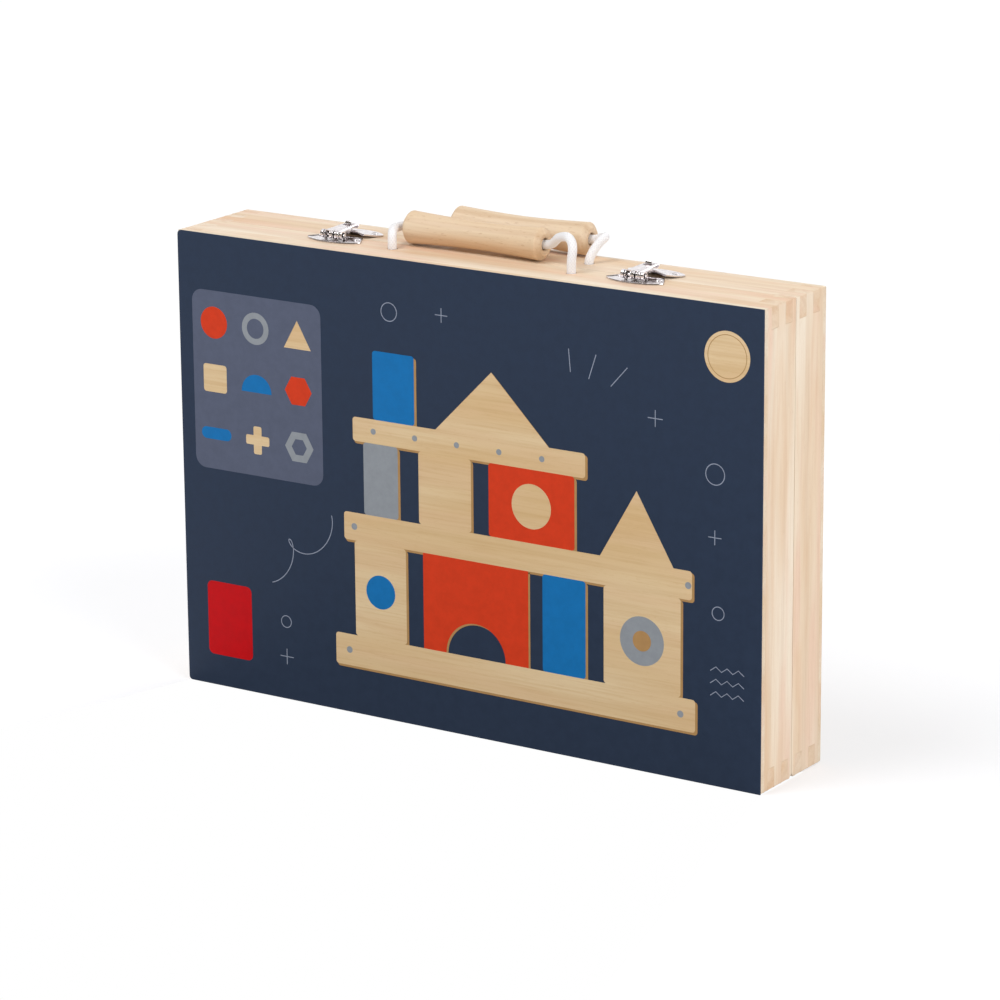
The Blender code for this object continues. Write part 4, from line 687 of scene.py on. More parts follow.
def addCord(side):
    values = cordValues[side]
    depth, (left, right, gripDepth) = values["depth"], values["grip"]
    board = caseHeight - cordValues["board"]
    levels = ((board - cordValues["knotRise"]) / mm, *cordValues["inBoard"])
    start, finish = [[(x, depth, level) for level in levels] for x in values["holes"]]
    inside = [(left + (right - left) * i / 18, gripDepth, gripValues["axisHeight"] / mm) for i in range(19)]
    points = start + values["left"] + inside + values["right"] + finish[::-1]
    route = smoothRoute([Vector(p) * mm for p in points], cordValues["spacing"])
    cord = cordTube(side + "HandleCord", route, cordValues["radius"], cordValues["sides"])
    knots = []
    for x, word in zip(values["holes"], ("Left", "Right")):
        knots += addKnot(side + word + "Knot", Vector((x * mm, depth * mm, board - cordValues["knotDrop"])))
    knots = joined(side + "CordKnots", knots)
    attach(knots, side + "_half")
    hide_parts(side + "_cord", side + "_cord_left_end", side + "_cord_right_end")
    low, high = [Vector((0, y, z)) * mm for y, z in values["blend"]]
    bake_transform(cord, side + "_half", side + "_handle", start=low, end=high)
    print(side, "cord", round(routeLength(route) * 1000, 1), "mm")


addCord("front")
addCord("rear")


# turned grips

def lathe(name, profile, foot, direction, sides, material):
    # a profile of (radius, distance) turned about an axis, from tip to tip or closed in itself
    turn = Vector(direction).to_track_quat("Z", "Y").to_matrix().to_4x4()
    matrix = Matrix.Translation(foot) @ turn
    shape = bmesh.new()
    rings = []
    for radius, distance in profile:
        turns = [fullTurn * k / sides for k in range(sides if radius else 1)]
        places = [Vector((radius * math.cos(t), radius * math.sin(t), distance)) for t in turns]
        rings.append([shape.verts.new(matrix @ place) for place in places])
    pairs = list(zip(rings, rings[1:]))
    if profile[0][0]:
        pairs.append((rings[-1], rings[0]))
    for first, second in pairs:
        for k in range(sides):
            n = (k + 1) % sides
            corners = [first[0]] if len(first) == 1 else [first[k], first[n]]
            corners += [second[0]] if len(second) == 1 else [second[n], second[k]]
            if len(corners) > 2:
                shape.faces.new(corners)
    return fromBmesh(name, shape, material)


def addGrip(side):
    v = gripValues
    left, right, depth = [value * mm for value in cordValues[side]["grip"]]
    length = right - left
    radius, waist, steps = v["radius"], v["waist"], v["steps"]
    back, cut = v["chamfer"]
    end = [(radius - cut + r * mm, z * mm) for r, z in v["rim"]]
    end += [(radius - cut + cut * i / 6, v["rimDepth"] + (back - v["rimDepth"]) * i / 6) for i in range(1, 6)]
    end += [(radius + r * mm, back + z * mm) for r, z in v["shoulder"]]
    outer = list(end)
    for i in range(1, steps):
        share = 2 * i / steps - 1
        swell = waist + (radius - waist) * abs(share) ** v["waistPower"]
        outer.append((swell, length / 2 + share * (length / 2 - end[-1][1])))
    outer += [(r, length - z) for r, z in reversed(end)]
    flare = [(v["bore"] + r * mm, length - z * mm) for r, z in v["flare"]]
    inner = flare[::-1] + [(r, length - z) for r, z in flare]
    foot = (left, depth, v["axisHeight"])
    grip = lathe(side + "Grip", outer + inner, foot, (1, 0, 0), v["sides"], gripBeech)
    withPlank(grip, v["planks"][side])
    sharpened(grip, 50)
    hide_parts(side + "_grip")
    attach(grip, side + "_handle")


addGrip("front")
addGrip("rear")
print("grips")


# the CAD pieces, with rounded edges and finished surfaces

edgeValues = {"merge": 0.002 * mm, "flatAngle": 0.7, "sharpAngle": 32, "segments": 2, "near": 0.01 * mm}
boardValues = {
    "cornerRound": 0.9 * mm, "jointEdge": 0.12 * mm, "panelRound": 0.8 * mm, "panelEdge": 0.1 * mm,
    "panelBack": 26.5 * mm, "cardEdge": 0.12 * mm, "plankStep": 1.37, "panelPlank": 2.2,
}


def refined(name, node, materials, edge, outer=None, outerTest=None, plank=0.0, zone=None):
    # a copy of a node's mesh with its sharp edges rounded by edge, or by outer where outerTest says so
    source = frame["nodes"][node]
    v = edgeValues
    shape = bmesh.new()
    shape.from_mesh(source.data)
    bmesh.ops.remove_doubles(shape, verts=shape.verts, dist=v["merge"])
    flat = math.radians(v["flatAngle"])
    bmesh.ops.dissolve_limit(shape, angle_limit=flat, verts=shape.verts, edges=shape.edges)
    weights = shape.edges.layers.float.new("bevel_weight_edge")
    largest = max(edge, outer or 0)
    for line in shape.edges:
        if len(line.link_faces) == 2 and line.calc_face_angle(0) > math.radians(v["sharpAngle"]):
            middle = (line.verts[0].co + line.verts[1].co) / 2
            width = outer if outer and outerTest(middle) else edge
            line[weights] = width / largest
    if zone:
        for face in shape.faces:
            face.material_index = zone(face)
    materials = materials if isinstance(materials, list) else [materials]
    piece = fromBmesh(name, shape, *materials, recalculate=False)
    bevel = piece.modifiers.new("edges", "BEVEL")
    bevel.width = largest
    bevel.segments = v["segments"]
    bevel.limit_method = "WEIGHT"
    plainMesh(piece)
    sharpened(piece)
    withPlank(piece, plank)
    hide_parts(node)
    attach(piece, body_of(source)[0])


def onOutline(middle):
    # whether a place is at the case's left or right end, and whether it is at its top or bottom
    near = edgeValues["near"]
    return abs(middle.x) > caseHalfWidth - near, middle.z > caseHeight - near or middle.z < near


def onCaseEdge(middle):
    return all(onOutline(middle))


def onPanelEdge(middle):
    return onCaseEdge(middle) or (any(onOutline(middle)) and middle.y > boardValues["panelBack"])


def addCase():
    v = boardValues
    number = 0
    for side in ("front", "rear"):
        for part, material in (("top", beechX), ("bottom", beechX), ("left", beechZ), ("right", beechZ)):
            number += 1
            refined(side + part.title() + "Board", f"{side}_{part}_board", material, v["jointEdge"],
                    v["cornerRound"], onCaseEdge, plank=number * v["plankStep"])
        refined(side + "Panel", side + "_panel", plyX, v["panelEdge"], v["panelRound"], onPanelEdge,
                plank=number + v["panelPlank"])
    refined("printedCard", "front_card", inks["navy"], v["cardEdge"])


addCase()
print("case")


# the print on the card, in millimetres: a building of toy blocks, a panel of plain shapes and ornaments

printValues = {
    "layer": 0.03 * mm, "sink": 0.01 * mm, "line": 0.42, "blockRound": 1.6,
    "blockShade": ((0.9, -1.1), (1.3, -0.9)), "archShade": (1.0, -0.6), "roofShade": (1.0, -0.8),
}
building = {
    "blocks": (
        ((-74, 24), (130, 40), "wood"), ((-62, 40), (-32, 88), "wood"), ((46, 40), (70, 88), "blue"),
        ((80, 40), (122, 88), "wood"), ((-68, 88), (128, 102), "wood"), ((-56, 102), (-36, 138), "grey"),
        ((-24, 102), (6, 138), "wood"), ((16, 102), (64, 138), "orange"), ((-62, 138), (70, 150), "wood"),
        ((-50, 150), (-26, 184), "blue"),
    ),
    "arch": ((-22, 40), (38, 88)), "archHole": ((8, 40), 17),
    "roof": [(-14, 150), (50, 150), (18, 182)], "gable": [(78, 102), (118, 102), (98, 136)],
    # centre, radius, corners, ink, layer
    "discs": (
        ((101, 64), 12, 40, "grey", 4), ((101, 64), 5, 28, "shade", 5), ((40, 120), 11, 40, "wood", 4),
        ((-47, 64), 8.5, 32, "blue", 4),
    ),
    "pegs": [(-66, 32), (-62, 95), (122, 32), (126, 95)], "pegRadius": 1.7,
    "nails": [(u, 144) for u in range(-50, 60, 24)], "nailRadius": 1.5,
}
panel = {
    "corners": ((-157, 112), (-80, 202)), "round": 6, "columns": (-144, -119, -94), "rows": (186, 158, 130),
}
ornaments = {
    "label": ((-152, 16), (-125, 54)), "labelRound": 3, "disc": (146, 206), "discRadius": 12,
    "discLine": 10.2, "discLineWidth": 0.35,
    "ribbonStart": (-112, 66), "ribbonRun": (34, 26), "ribbonSwing": (6, -7), "ribbonTurn": 9,
    "ribbonSteps": 90,
    "strokes": (((72, 186), (76, 198)), ((84, 184), (93, 194)), ((62, 188), (61, 199))),
    "crosses": ((108, 172, 4), (-104, 22, 4), (140, 120, 3.5), (-10, 206, 3.5)),
    "rings": ((140, 150, 5), (142, 84, 3.2), (-104, 40, 3), (-40, 204, 4.5)),
    "waves": (138, 56), "waveStep": (3, 6), "waveHeight": 2.2,
}
cardPrint = bmesh.new()


def layFaces(shape, faces, ink):
    for corners in faces:
        shape.faces.new(corners).material_index = inkOrder.index(ink)


def layStrip(left, right, layer, ink, closed=False):
    # the area between two rows of points, as a thin closed slab on the card
    rows = []
    for y in (cardFace + printValues["sink"], cardFace - layer * printValues["layer"]):
        rows.append([[cardPrint.verts.new((u * mm, y, v * mm)) for u, v in side] for side in (left, right)])
    count = len(left)
    faces = []
    for i in range(count if closed else count - 1):
        n = (i + 1) % count
        for a, b in (((0, 0), (0, 1)), ((1, 0), (1, 1)), ((0, 0), (1, 0)), ((0, 1), (1, 1))):
            faces.append((rows[a[0]][a[1]][i], rows[a[0]][a[1]][n], rows[b[0]][b[1]][n], rows[b[0]][b[1]][i]))
    if not closed:
        faces += [(rows[0][0][i], rows[0][1][i], rows[1][1][i], rows[1][0][i]) for i in (0, -1)]
    layFaces(cardPrint, faces, ink)


def layShape(outline, layer, ink, shape=cardPrint, face=cardFace, outward=-1):
    depths = (face - outward * printValues["sink"], face + outward * layer * printValues["layer"])
    rows = [[shape.verts.new((u * mm, y, v * mm)) for u, v in outline] for y in depths]
    faces = list(rows)
    for i in range(len(outline)):
        n = (i + 1) % len(outline)
        faces.append((rows[0][i], rows[0][n], rows[1][n], rows[1][i]))
    layFaces(shape, faces, ink)


def arcPoints(centre, radius, start, end, count):
    turns = [math.radians(start + (end - start) * i / count) for i in range(count + 1)]
    return [(centre[0] + radius * math.cos(t), centre[1] + radius * math.sin(t)) for t in turns]


def circle(centre, radius, count=32):
    return arcPoints(centre, radius, 0, 360, count)[:-1]


def roundedBox(low, high, radius):
    (u0, v0), (u1, v1) = low, high
    points = []
    for centre, start in (
        ((u1 - radius, v0 + radius), -90), ((u1 - radius, v1 - radius), 0),
        ((u0 + radius, v1 - radius), 90), ((u0 + radius, v0 + radius), 180),
    ):
        points += arcPoints(centre, radius, start, start + 90, 6)
    return points


def boxAround(u, v, halfWidth, halfHeight, radius):
    return roundedBox((u - halfWidth, v - halfHeight), (u + halfWidth, v + halfHeight), radius)


def shifted(points, step):
    return [(u + step[0], v + step[1]) for u, v in points]


def drawLine(points, layer=1, ink="pale", width=printValues["line"], closed=False):
    half = width / 2
    count = len(points)
    left, right = [], []
    for i in range(count):
        before = points[i - 1] if closed or i else points[0]
        after = points[(i + 1) % count] if closed or i < count - 1 else points[-1]
        run, rise = after[0] - before[0], after[1] - before[1]
        size = math.hypot(run, rise)
        left.append((points[i][0] - rise / size * half, points[i][1] + run / size * half))
        right.append((points[i][0] + rise / size * half, points[i][1] - run / size * half))
    layStrip(left, right, layer, ink, closed)


def addBuilding():
    # each block has a darker edge below and to the right
    v, b = printValues, building
    for low, high, ink in b["blocks"]:
        darkLow, darkHigh = [shifted([p], step)[0] for p, step in zip((low, high), v["blockShade"])]
        layShape(roundedBox(darkLow, darkHigh, v["blockRound"]), 2, "shade")
        layShape(roundedBox(low, high, v["blockRound"]), 3, ink)
    (u0, v0), (u1, v1) = b["arch"]
    arch = [(u0, v0)] + arcPoints(*b["archHole"], 180, 0, 24) + [(u1, v0), (u1, v1), (u0, v1)]
    for outline, step, ink in ((arch, v["archShade"], "orange"), (b["roof"], v["roofShade"], "wood")):
        layShape(shifted(outline, step), 2, "shade")
        layShape(outline, 3, ink)
    layShape(b["gable"], 3, "wood")
    for centre, radius, count, ink, layer in b["discs"]:
        layShape(circle(centre, radius, count), layer, ink)
    for key, size in (("pegs", b["pegRadius"]), ("nails", b["nailRadius"])):
        for centre in b[key]:
            layShape(circle(centre, size, 16), 4, "grey")


def addPanel():
    layShape(roundedBox(*panel["corners"], panel["round"]), 1, "slate")
    (a, b, c), (top, middle, low) = panel["columns"], panel["rows"]
    layShape(circle((a, top), 8), 2, "orange")
    layStrip(circle((b, top), 8), circle((b, top), 5), 2, "grey", True)
    layShape([(c - 8, top - 7), (c + 8, top - 7), (c, top + 7)], 2, "wood")
    layShape(boxAround(a, middle, 7, 7, 1.5), 2, "wood")
    layShape(arcPoints((b, middle - 4), 9, 0, 180, 20), 2, "blue")
    layShape(circle((c, middle), 8, 6), 2, "orange")
    layShape(boxAround(a, low, 9, 3, 2.9), 2, "blue")
    layShape(boxAround(b, low, 7, 2.4, 1), 2, "wood")
    layShape(boxAround(b, low, 2.4, 7, 1), 3, "wood")
    layStrip(circle((c, low), 8.5, 6), circle((c, low), 4.5, 6), 2, "grey", True)


def addOrnaments():
    v = ornaments
    layShape(roundedBox(*v["label"], v["labelRound"]), 1, "red")
    layShape(circle(v["disc"], v["discRadius"], 48), 1, "wood")
    drawLine(circle(v["disc"], v["discLine"], 48), 2, "shade", v["discLineWidth"], closed=True)
    (u, w), (run, rise), (aside, up) = v["ribbonStart"], v["ribbonRun"], v["ribbonSwing"]
    ribbon = []
    for i in range(v["ribbonSteps"]):  # one loop of a thrown ribbon
        t = i / (v["ribbonSteps"] - 1)
        turn = v["ribbonTurn"] * t
        ribbon.append((u + run * t + aside * math.sin(turn), w + rise * t + up * math.cos(turn)))
    drawLine(ribbon)
    for stroke in v["strokes"]:
        drawLine(stroke)
    for u, w, size in v["crosses"]:
        drawLine([(u - size, w), (u + size, w)])
        drawLine([(u, w - size), (u, w + size)], 2)
    for u, w, radius in v["rings"]:
        drawLine(circle((u, w), radius, 28), closed=True)
    (u, w), (run, drop) = v["waves"], v["waveStep"]
    for row in range(3):
        drawLine([(u + run * i, w - drop * row + (v["waveHeight"] if i % 2 else 0)) for i in range(7)])


addBuilding()
addPanel()
addOrnaments()
printPiece = fromBmesh("cardPrint", cardPrint, *inks.values(), smooth=False)
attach(printPiece, "front_half")
print("print on the card")


# screws, made with one node tree in millimetres

screwInputs = (
    ("Head Radius", "Float"), ("Head Height", "Float"), ("Slot Width", "Float"), ("Slot Depth", "Float"),
    ("Crossed", "Bool"), ("Seed", "Int"),
)
screwSizes = {
    "latch": (1.8, 0.8, 0.62, 0.7, False, 4), "bar": (2.95, 0.4, 0.8, 0.6, True, 9),
    "hinge": (1.3, 0.03, 0.4, 0.3, True, 2),
}
screwShares = {"straightSlot": 2.4, "crossedSlot": 1.25}  # of the head's radius


def startTree(name, inputs):
    tree = bpy.data.node_groups.new(name, "GeometryNodeTree")
    for label, kind in (("Geometry", "Geometry"), *inputs, ("Material", "Material")):
        tree.interface.new_socket(label, in_out="INPUT", socket_type="NodeSocket" + kind)
    tree.interface.new_socket("Geometry", in_out="OUTPUT", socket_type="NodeSocketGeometry")
    return tree, addNode(tree, "NodeGroupInput").outputs


def finishTree(tree, placed, material):
    real = addNode(tree, "GeometryNodeRealizeInstances", {"Geometry": placed})
    finished = addNode(tree, "GeometryNodeSetMaterial", {"Geometry": real.outputs[0], "Material": material})
    tree.links.new(finished.outputs[0], addNode(tree, "NodeGroupOutput").inputs[0])
    return tree


def switchNode(tree, kind, test, no, yes):
    made = addNode(tree, "GeometryNodeSwitch", {"Switch": test, "False": no, "True": yes}, input_type=kind)
    return made.outputs[0]


def combined(tree, x=0.0, y=0.0, z=0.0):
    return addNode(tree, "ShaderNodeCombineXYZ", {0: x, 1: y, 2: z}).outputs[0]


def screwTree():
    tree, given = startTree("screwHeads", screwInputs)
    radius, height, crossed = given["Head Radius"], given["Head Height"], given["Crossed"]
    ball = addNode(tree, "GeometryNodeMeshUVSphere", {"Segments": 28, "Rings": 14, "Radius": 1.0})
    head = addNode(tree, "GeometryNodeTransform", {
        "Geometry": ball.outputs["Mesh"], "Scale": combined(tree, radius, radius, height),
    }).outputs[0]
    straight = mathNode(tree, "MULTIPLY", radius, screwShares["straightSlot"])
    short = mathNode(tree, "MULTIPLY", radius, screwShares["crossedSlot"])
    reach = switchNode(tree, "FLOAT", crossed, straight, short)
    deep = mathNode(tree, "MULTIPLY", given["Slot Depth"], 2.0)
    bar = addNode(tree, "GeometryNodeMeshCube", {"Size": combined(tree, reach, given["Slot Width"], deep)})
    slot = addNode(tree, "GeometryNodeTransform", {
        "Geometry": bar.outputs["Mesh"], "Translation": combined(tree, z=height),
    }).outputs[0]
    across = addNode(tree, "GeometryNodeTransform", {
        "Geometry": slot, "Rotation": (0, 0, math.pi / 2), "Scale": (1, 1, 0.97),
    }).outputs[0]
    cut = addNode(tree, "GeometryNodeMeshBoolean", {0: head, 1: slot}, operation="DIFFERENCE").outputs[0]
    twice = addNode(tree, "GeometryNodeMeshBoolean", {0: cut, 1: across}, operation="DIFFERENCE").outputs[0]
    aim = addNode(tree, "GeometryNodeInputNamedAttribute", {"Name": "aim"}, data_type="FLOAT_VECTOR")
    aimed = addNode(tree, "FunctionNodeAlignRotationToVector", {"Vector": aim.outputs[0]}, axis="Z")
    chance = addNode(tree, "FunctionNodeRandomValue", {"Seed": given["Seed"], 3: math.pi}, data_type="FLOAT")
    twist = addNode(tree, "FunctionNodeAxisAngleToRotation", {"Axis": (0, 0, 1), "Angle": chance.outputs[1]})
    turn = addNode(tree, "FunctionNodeRotateRotation", {0: aimed.outputs[0], 1: twist.outputs[0]},
                   rotation_space="LOCAL")
    placed = addNode(tree, "GeometryNodeInstanceOnPoints", {
        "Points": given["Geometry"], "Instance": switchNode(tree, "GEOMETRY", crossed, cut, twice),
        "Rotation": turn.outputs[0], "Scale": (mm, mm, mm),
    })
    return finishTree(tree, placed.outputs[0], given["Material"])


screws = screwTree()


def socketName(tree, label):
    return next(item.identifier for item in tree.interface.items_tree
                if item.item_type == "SOCKET" and item.in_out == "INPUT" and item.name == label)


def grown(name, points, tree, inputs, material, aims=()):
    # points turned into a plain mesh by a node tree
    mesh = bpy.data.meshes.new(name)
    mesh.from_pydata([tuple(p) for p in points], [], [])
    if aims:
        layer = mesh.attributes.new("aim", "FLOAT_VECTOR", "POINT")
        layer.data.foreach_set("vector", [value for aim in aims for value in aim])
    piece = linkObject(name, mesh)
    modifier = piece.modifiers.new("made", "NODES")
    modifier.node_group = tree
    for label, value in dict(inputs, Material=material).items():
        modifier[socketName(tree, label)] = value
    plainMesh(piece)
    for face in piece.data.polygons:
        face.use_smooth = True
    return piece


def addScrews(name, kind, points, aim, body):
    sizes = {label: size for (label, _), size in zip(screwInputs, screwSizes[kind])}
    piece = grown(name, points, screws, sizes, nickel, [aim] * len(points))
    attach(sharpened(piece), body)


# latches

latchValues = {
    "places": (("left", -85 * mm), ("right", 85 * mm)), "low": 230.05 * mm, "thick": 0.8 * mm,
    "rearSheet": 0.78 * mm, "gap": 0.4 * mm,
    "halfWidth": 15.5 * mm, "neck": 10.6 * mm, "depth": 15.5 * mm, "tip": 9.6 * mm, "roundPower": 0.7,
    "bow": 2.7 * mm, "bowStart": 1.0 * mm, "bowDepth": 9.2 * mm,
    "axisDepth": -12.2 * mm, "axisHeight": 233.2 * mm, "barrel": 2.1 * mm, "sheet": 0.7 * mm,
    "sheetEdge": 0.12 * mm,
    "earIn": 4.75 * mm, "earOut": 6.15 * mm, "earTurn": 262, "stemShare": 1.02, "stemFoot": 0.5 * mm,
    "stemTop": -1.2 * mm, "pin": 0.72 * mm, "pinRim": 0.2 * mm, "pinFaceShare": 0.7, "pinPast": 0.5 * mm,
    # inset and height of the stamped plate's steps, in millimetres
    "stamping": ((0, 0), (0, 0.45), (0.12, 0.68), (0.4, 0.8), (1.5, 0.8), (1.9, 0.5), (2.3, 0.46)),
    # how far inwards the steps may go at the neck, and as a share of the way to a tip
    "neckRoom": 3 * mm, "tipRoomShare": 0.5,
    "tongue": 0.95 * mm, "tongueHalf": 2.2 * mm, "tongueThick": 0.9 * mm, "tongueRound": 1.1 * mm,
    "tongueFoot": 2.9 * mm, "tongueStep": 0.4 * mm,
    "tongueCurl": ((0.1 * mm, 236.9 * mm), (0.5 * mm, 237.3 * mm)),
    # aside of the latch's middle, away from the seam, and up
    "screws": ((10.2 * mm, -5.0 * mm, 0.4 * mm), (10.6 * mm, 8.9 * mm, 0.75 * mm)),
}
haspValues = {
    "half": 4.3 * mm, "tipHalf": 3.5 * mm, "top": 235.3 * mm, "tilt": 0.5 * mm, "flatEnd": 4.0 * mm,
    "curlStart": 30, "curlTurn": 300, "bend": 0.8 * mm, "lip": ((0.8 * mm, -1.4 * mm), (0.9 * mm, -2.0 * mm)),
    "endRound": 1.4 * mm, "fold": 0.6 * mm, "foldShare": 0.57, "wall": 2.3 * mm, "wallStarts": (0.05, 0.3),
    "wallEnds": (0.5, 0.62), "rib": 0.3 * mm, "ribPlaces": (-0.02, 0.66), "ribWidth": 0.13, "across": 52,
    "knuckleGaps": ((-3.5 * mm, -1.0 * mm), (1.2 * mm, 2.0 * mm)), "gapDepth": 0.2 * mm,
    "slotHalf": (2.5 * mm, 1.9 * mm),
}


def shrunk(outline, distance):
    # a closed counterclockwise outline of (x, y, room), moved inwards by the distance or the room
    inner = []
    for i, (x, y, room) in enumerate(outline):
        before, after = outline[i - 1], outline[(i + 1) % len(outline)]
        first = Vector((x - before[0], y - before[1])).normalized()
        second = Vector((after[0] - x, after[1] - y)).normalized()
        normal = Vector((-(first.y + second.y), first.x + second.x)).normalized()
        step = min(distance, room) / max(0.5, normal.dot(Vector((-first.y, first.x))))
        inner.append((x + normal.x * step, y + normal.y * step))
    return inner


def stampedPlate(name, outline):
    shape = bmesh.new()
    rings = []
    for inset, rise in latchValues["stamping"]:
        height = latchValues["low"] + rise * mm
        rings.append([shape.verts.new((x, y, height)) for x, y in shrunk(outline, inset * mm)])
    for first, second in zip(rings, rings[1:]):
        for i in range(len(outline)):
            n = (i + 1) % len(outline)
            shape.faces.new((first[i], first[n], second[n], second[i]))
    shape.faces.new(rings[0])
    shape.faces.new(rings[-1])
    return fromBmesh(name, shape, nickel)


def plateReach(u):
    # how far the round outer edge stands from the seam, with u from -1 to 1 across the plate
    v = latchValues
    return v["tip"] + (v["depth"] - v["tip"]) * max(0.0, 1 - u * u) ** v["roundPower"]


def frontOutline(x):
    v = latchValues
    edge = seamPlane - v["gap"]
    points = [(x + v["neck"], edge, v["neckRoom"])]
    for i in range(65):
        u = math.cos(math.pi * i / 64)
        room = v["tipRoomShare"] * v["halfWidth"] * (1 - abs(u))
        points.append((x + v["halfWidth"] * u, seamPlane - plateReach(u), room))
    points.append((x - v["neck"], edge, v["neckRoom"]))
    return points[::-1]


def sheetFrom(name, rows, thickness, hole=None):
    # sheet metal through rows of points, its edges broken; hole(i, k) leaves faces out
    shape = bmesh.new()
    grid = [[shape.verts.new(point) for point in row] for row in rows]
    for i in range(len(rows) - 1):
        for k in range(len(rows[0]) - 1):
            if not (hole and hole(i, k)):
                shape.faces.new((grid[i][k], grid[i][k + 1], grid[i + 1][k + 1], grid[i + 1][k]))
    bmesh.ops.delete(shape, geom=[v for v in shape.verts if not v.link_faces], context="VERTS")
    piece = fromBmesh(name, shape, nickel, recalculate=False)
    solid = piece.modifiers.new("sheet", "SOLIDIFY")
    solid.thickness = thickness
    solid.offset = 0
    edge = piece.modifiers.new("edge", "BEVEL")
    edge.width = latchValues["sheetEdge"]
    edge.segments = 2
    edge.angle_limit = math.radians(50)
    plainMesh(piece)
    shape = bmesh.new()
    shape.from_mesh(piece.data)
    bmesh.ops.recalc_face_normals(shape, faces=shape.faces)
    shape.to_mesh(piece.data)
    shape.free()
    return piece


def pathNormals(path):
    normals = []
    for i in range(len(path)):
        before, after = path[max(0, i - 1)], path[min(len(path) - 1, i + 1)]
        run, rise = after[0] - before[0], after[1] - before[1]
        size = math.hypot(run, rise)
        normals.append((-rise / size, run / size))
    return normals


def endRounding(path, i):
    # from nought to one over the last four steps of a path
    return max(0, 1 - (len(path) - 1 - i) / 4) ** 2


def sheetAlong(name, path, halfWidth, across, thickness, rounding=0.0):
    # a strip of sheet metal bent along a path of (y, z)
    rows = []
    for i, (y, z) in enumerate(path):
        half = halfWidth - rounding * endRounding(path, i)
        rows.append([((2 * k / across - 1) * half, y, z) for k in range(across + 1)])
    return sheetFrom(name, rows, thickness)


def aroundPin(degrees):
    v = latchValues
    radius = v["barrel"] - v["sheet"] / 2
    turn = math.radians(degrees)
    return v["axisDepth"] + radius * math.cos(turn), v["axisHeight"] + radius * math.sin(turn)


def ramp(value, low, high):
    return min(1.0, max(0.0, (value - low) / (high - low)))


def addFrontPlate(word, x):
    v = latchValues
    pieces = [stampedPlate(word + "Stamping", frontOutline(x))]
    stem = v["axisDepth"] + (v["barrel"] - v["sheet"] / 2) * v["stemShare"]
    ear = [(stem, v["low"] + v["stemFoot"]), (stem, v["axisHeight"] + v["stemTop"])]
    ear += [aroundPin(v["earTurn"] * i / 20) for i in range(21)]
    for sign in (-1, 1):
        strip = sheetAlong(word + "Ear", ear, (v["earOut"] - v["earIn"]) / 2, 4, v["sheet"])
        pieces.append(moved(strip, x + sign * (v["earIn"] + v["earOut"]) / 2))
    pinEnd = v["earOut"] + v["pinPast"]
    face = v["pin"] * v["pinFaceShare"]
    profile = [(0, 0), (face, 0), (v["pin"], v["pinRim"]), (v["pin"], 2 * pinEnd - v["pinRim"]),
               (face, 2 * pinEnd), (0, 2 * pinEnd)]
    foot = (x - pinEnd, v["axisDepth"], v["axisHeight"])
    pieces.append(lathe(word + "Pin", profile, foot, (1, 0, 0), 20, nickel))
    front = joined(word + "LatchFront", pieces)
    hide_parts(word + "_latch_front_plate")
    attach(sharpened(front), "front_half")
    return front


def haspPath():
    # round the pin from the rear and below, back over the seam, and down at the end
    v, latch = haspValues, latchValues
    path = [aroundPin(v["curlStart"] - v["curlTurn"] * i / 28) for i in range(29)]
    curled = len(path)
    top, end, start = v["top"] - latch["sheet"] / 2, v["flatEnd"], latch["axisDepth"]
    for i in range(41):
        share = i / 40
        path.append((start + (end - start) * share, top + v["tilt"] * share * share * (3 - 2 * share)))
    high = path[-1][1]
    for i in range(1, 7):
        turn = math.radians(90 - 90 * i / 6)
        path.append((end + v["bend"] * math.cos(turn), high - v["bend"] + v["bend"] * math.sin(turn)))
    path += [(end + out, high + down) for out, down in v["lip"]]
    return path, curled


def addHasp(word, x):
    # its sides are folded down over the middle, its knuckle is loops with the pin between them, and the
    # tongue comes up through its slot
    v, latch = haspValues, latchValues
    path, curled = haspPath()
    fold, across = v["fold"], v["across"]
    rows, spans = [], []
    for i, ((y, z), normal) in enumerate(zip(path, pathNormals(path))):
        along = ramp(y, latch["axisDepth"], v["flatEnd"]) if i >= curled else 0
        half = v["half"] + (v["tipHalf"] - v["half"]) * along - v["endRound"] * endRounding(path, i)
        walled = ramp(along, *v["wallStarts"]) * (1 - ramp(along, *v["wallEnds"]))
        span = half + (v["wall"] + v["foldShare"] * fold) * walled
        rib = 0 if i >= curled else v["rib"]
        row, spanned = [], []
        for k in range(across + 1):
            t = span * (2 * k / across - 1)
            past = max(0.0, abs(t) - (half - fold))
            angle = min(past / fold, math.pi / 2)
            wide = min(abs(t), half - fold) + fold * math.sin(angle)
            drop = fold * (1 - math.cos(angle)) + max(0.0, past - fold * math.pi / 2)
            for place in v["ribPlaces"]:
                drop += rib * math.exp(-((t / half - place) / v["ribWidth"]) ** 2)
            row.append((math.copysign(wide, t), y - normal[0] * drop, z - normal[1] * drop))
            spanned.append(t)
        rows.append(row)
        spans.append(spanned)

    def cutOut(i, k):
        y, t = (path[i][0] + path[i + 1][0]) / 2, (spans[i][k] + spans[i][k + 1]) / 2
        if i < curled:
            inGap = any(low < t < high for low, high in v["knuckleGaps"])
            return inGap and y < latch["axisDepth"] - v["gapDepth"]
        return abs(t) < v["slotHalf"][0] and abs(y - latch["tongue"]) < v["slotHalf"][1]

    hasp = moved(sheetFrom(word + "Hasp", rows, latch["sheet"], cutOut), x)
    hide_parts(word + "_hasp")
    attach(sharpened(hasp), word + "_hasp")
    return hasp


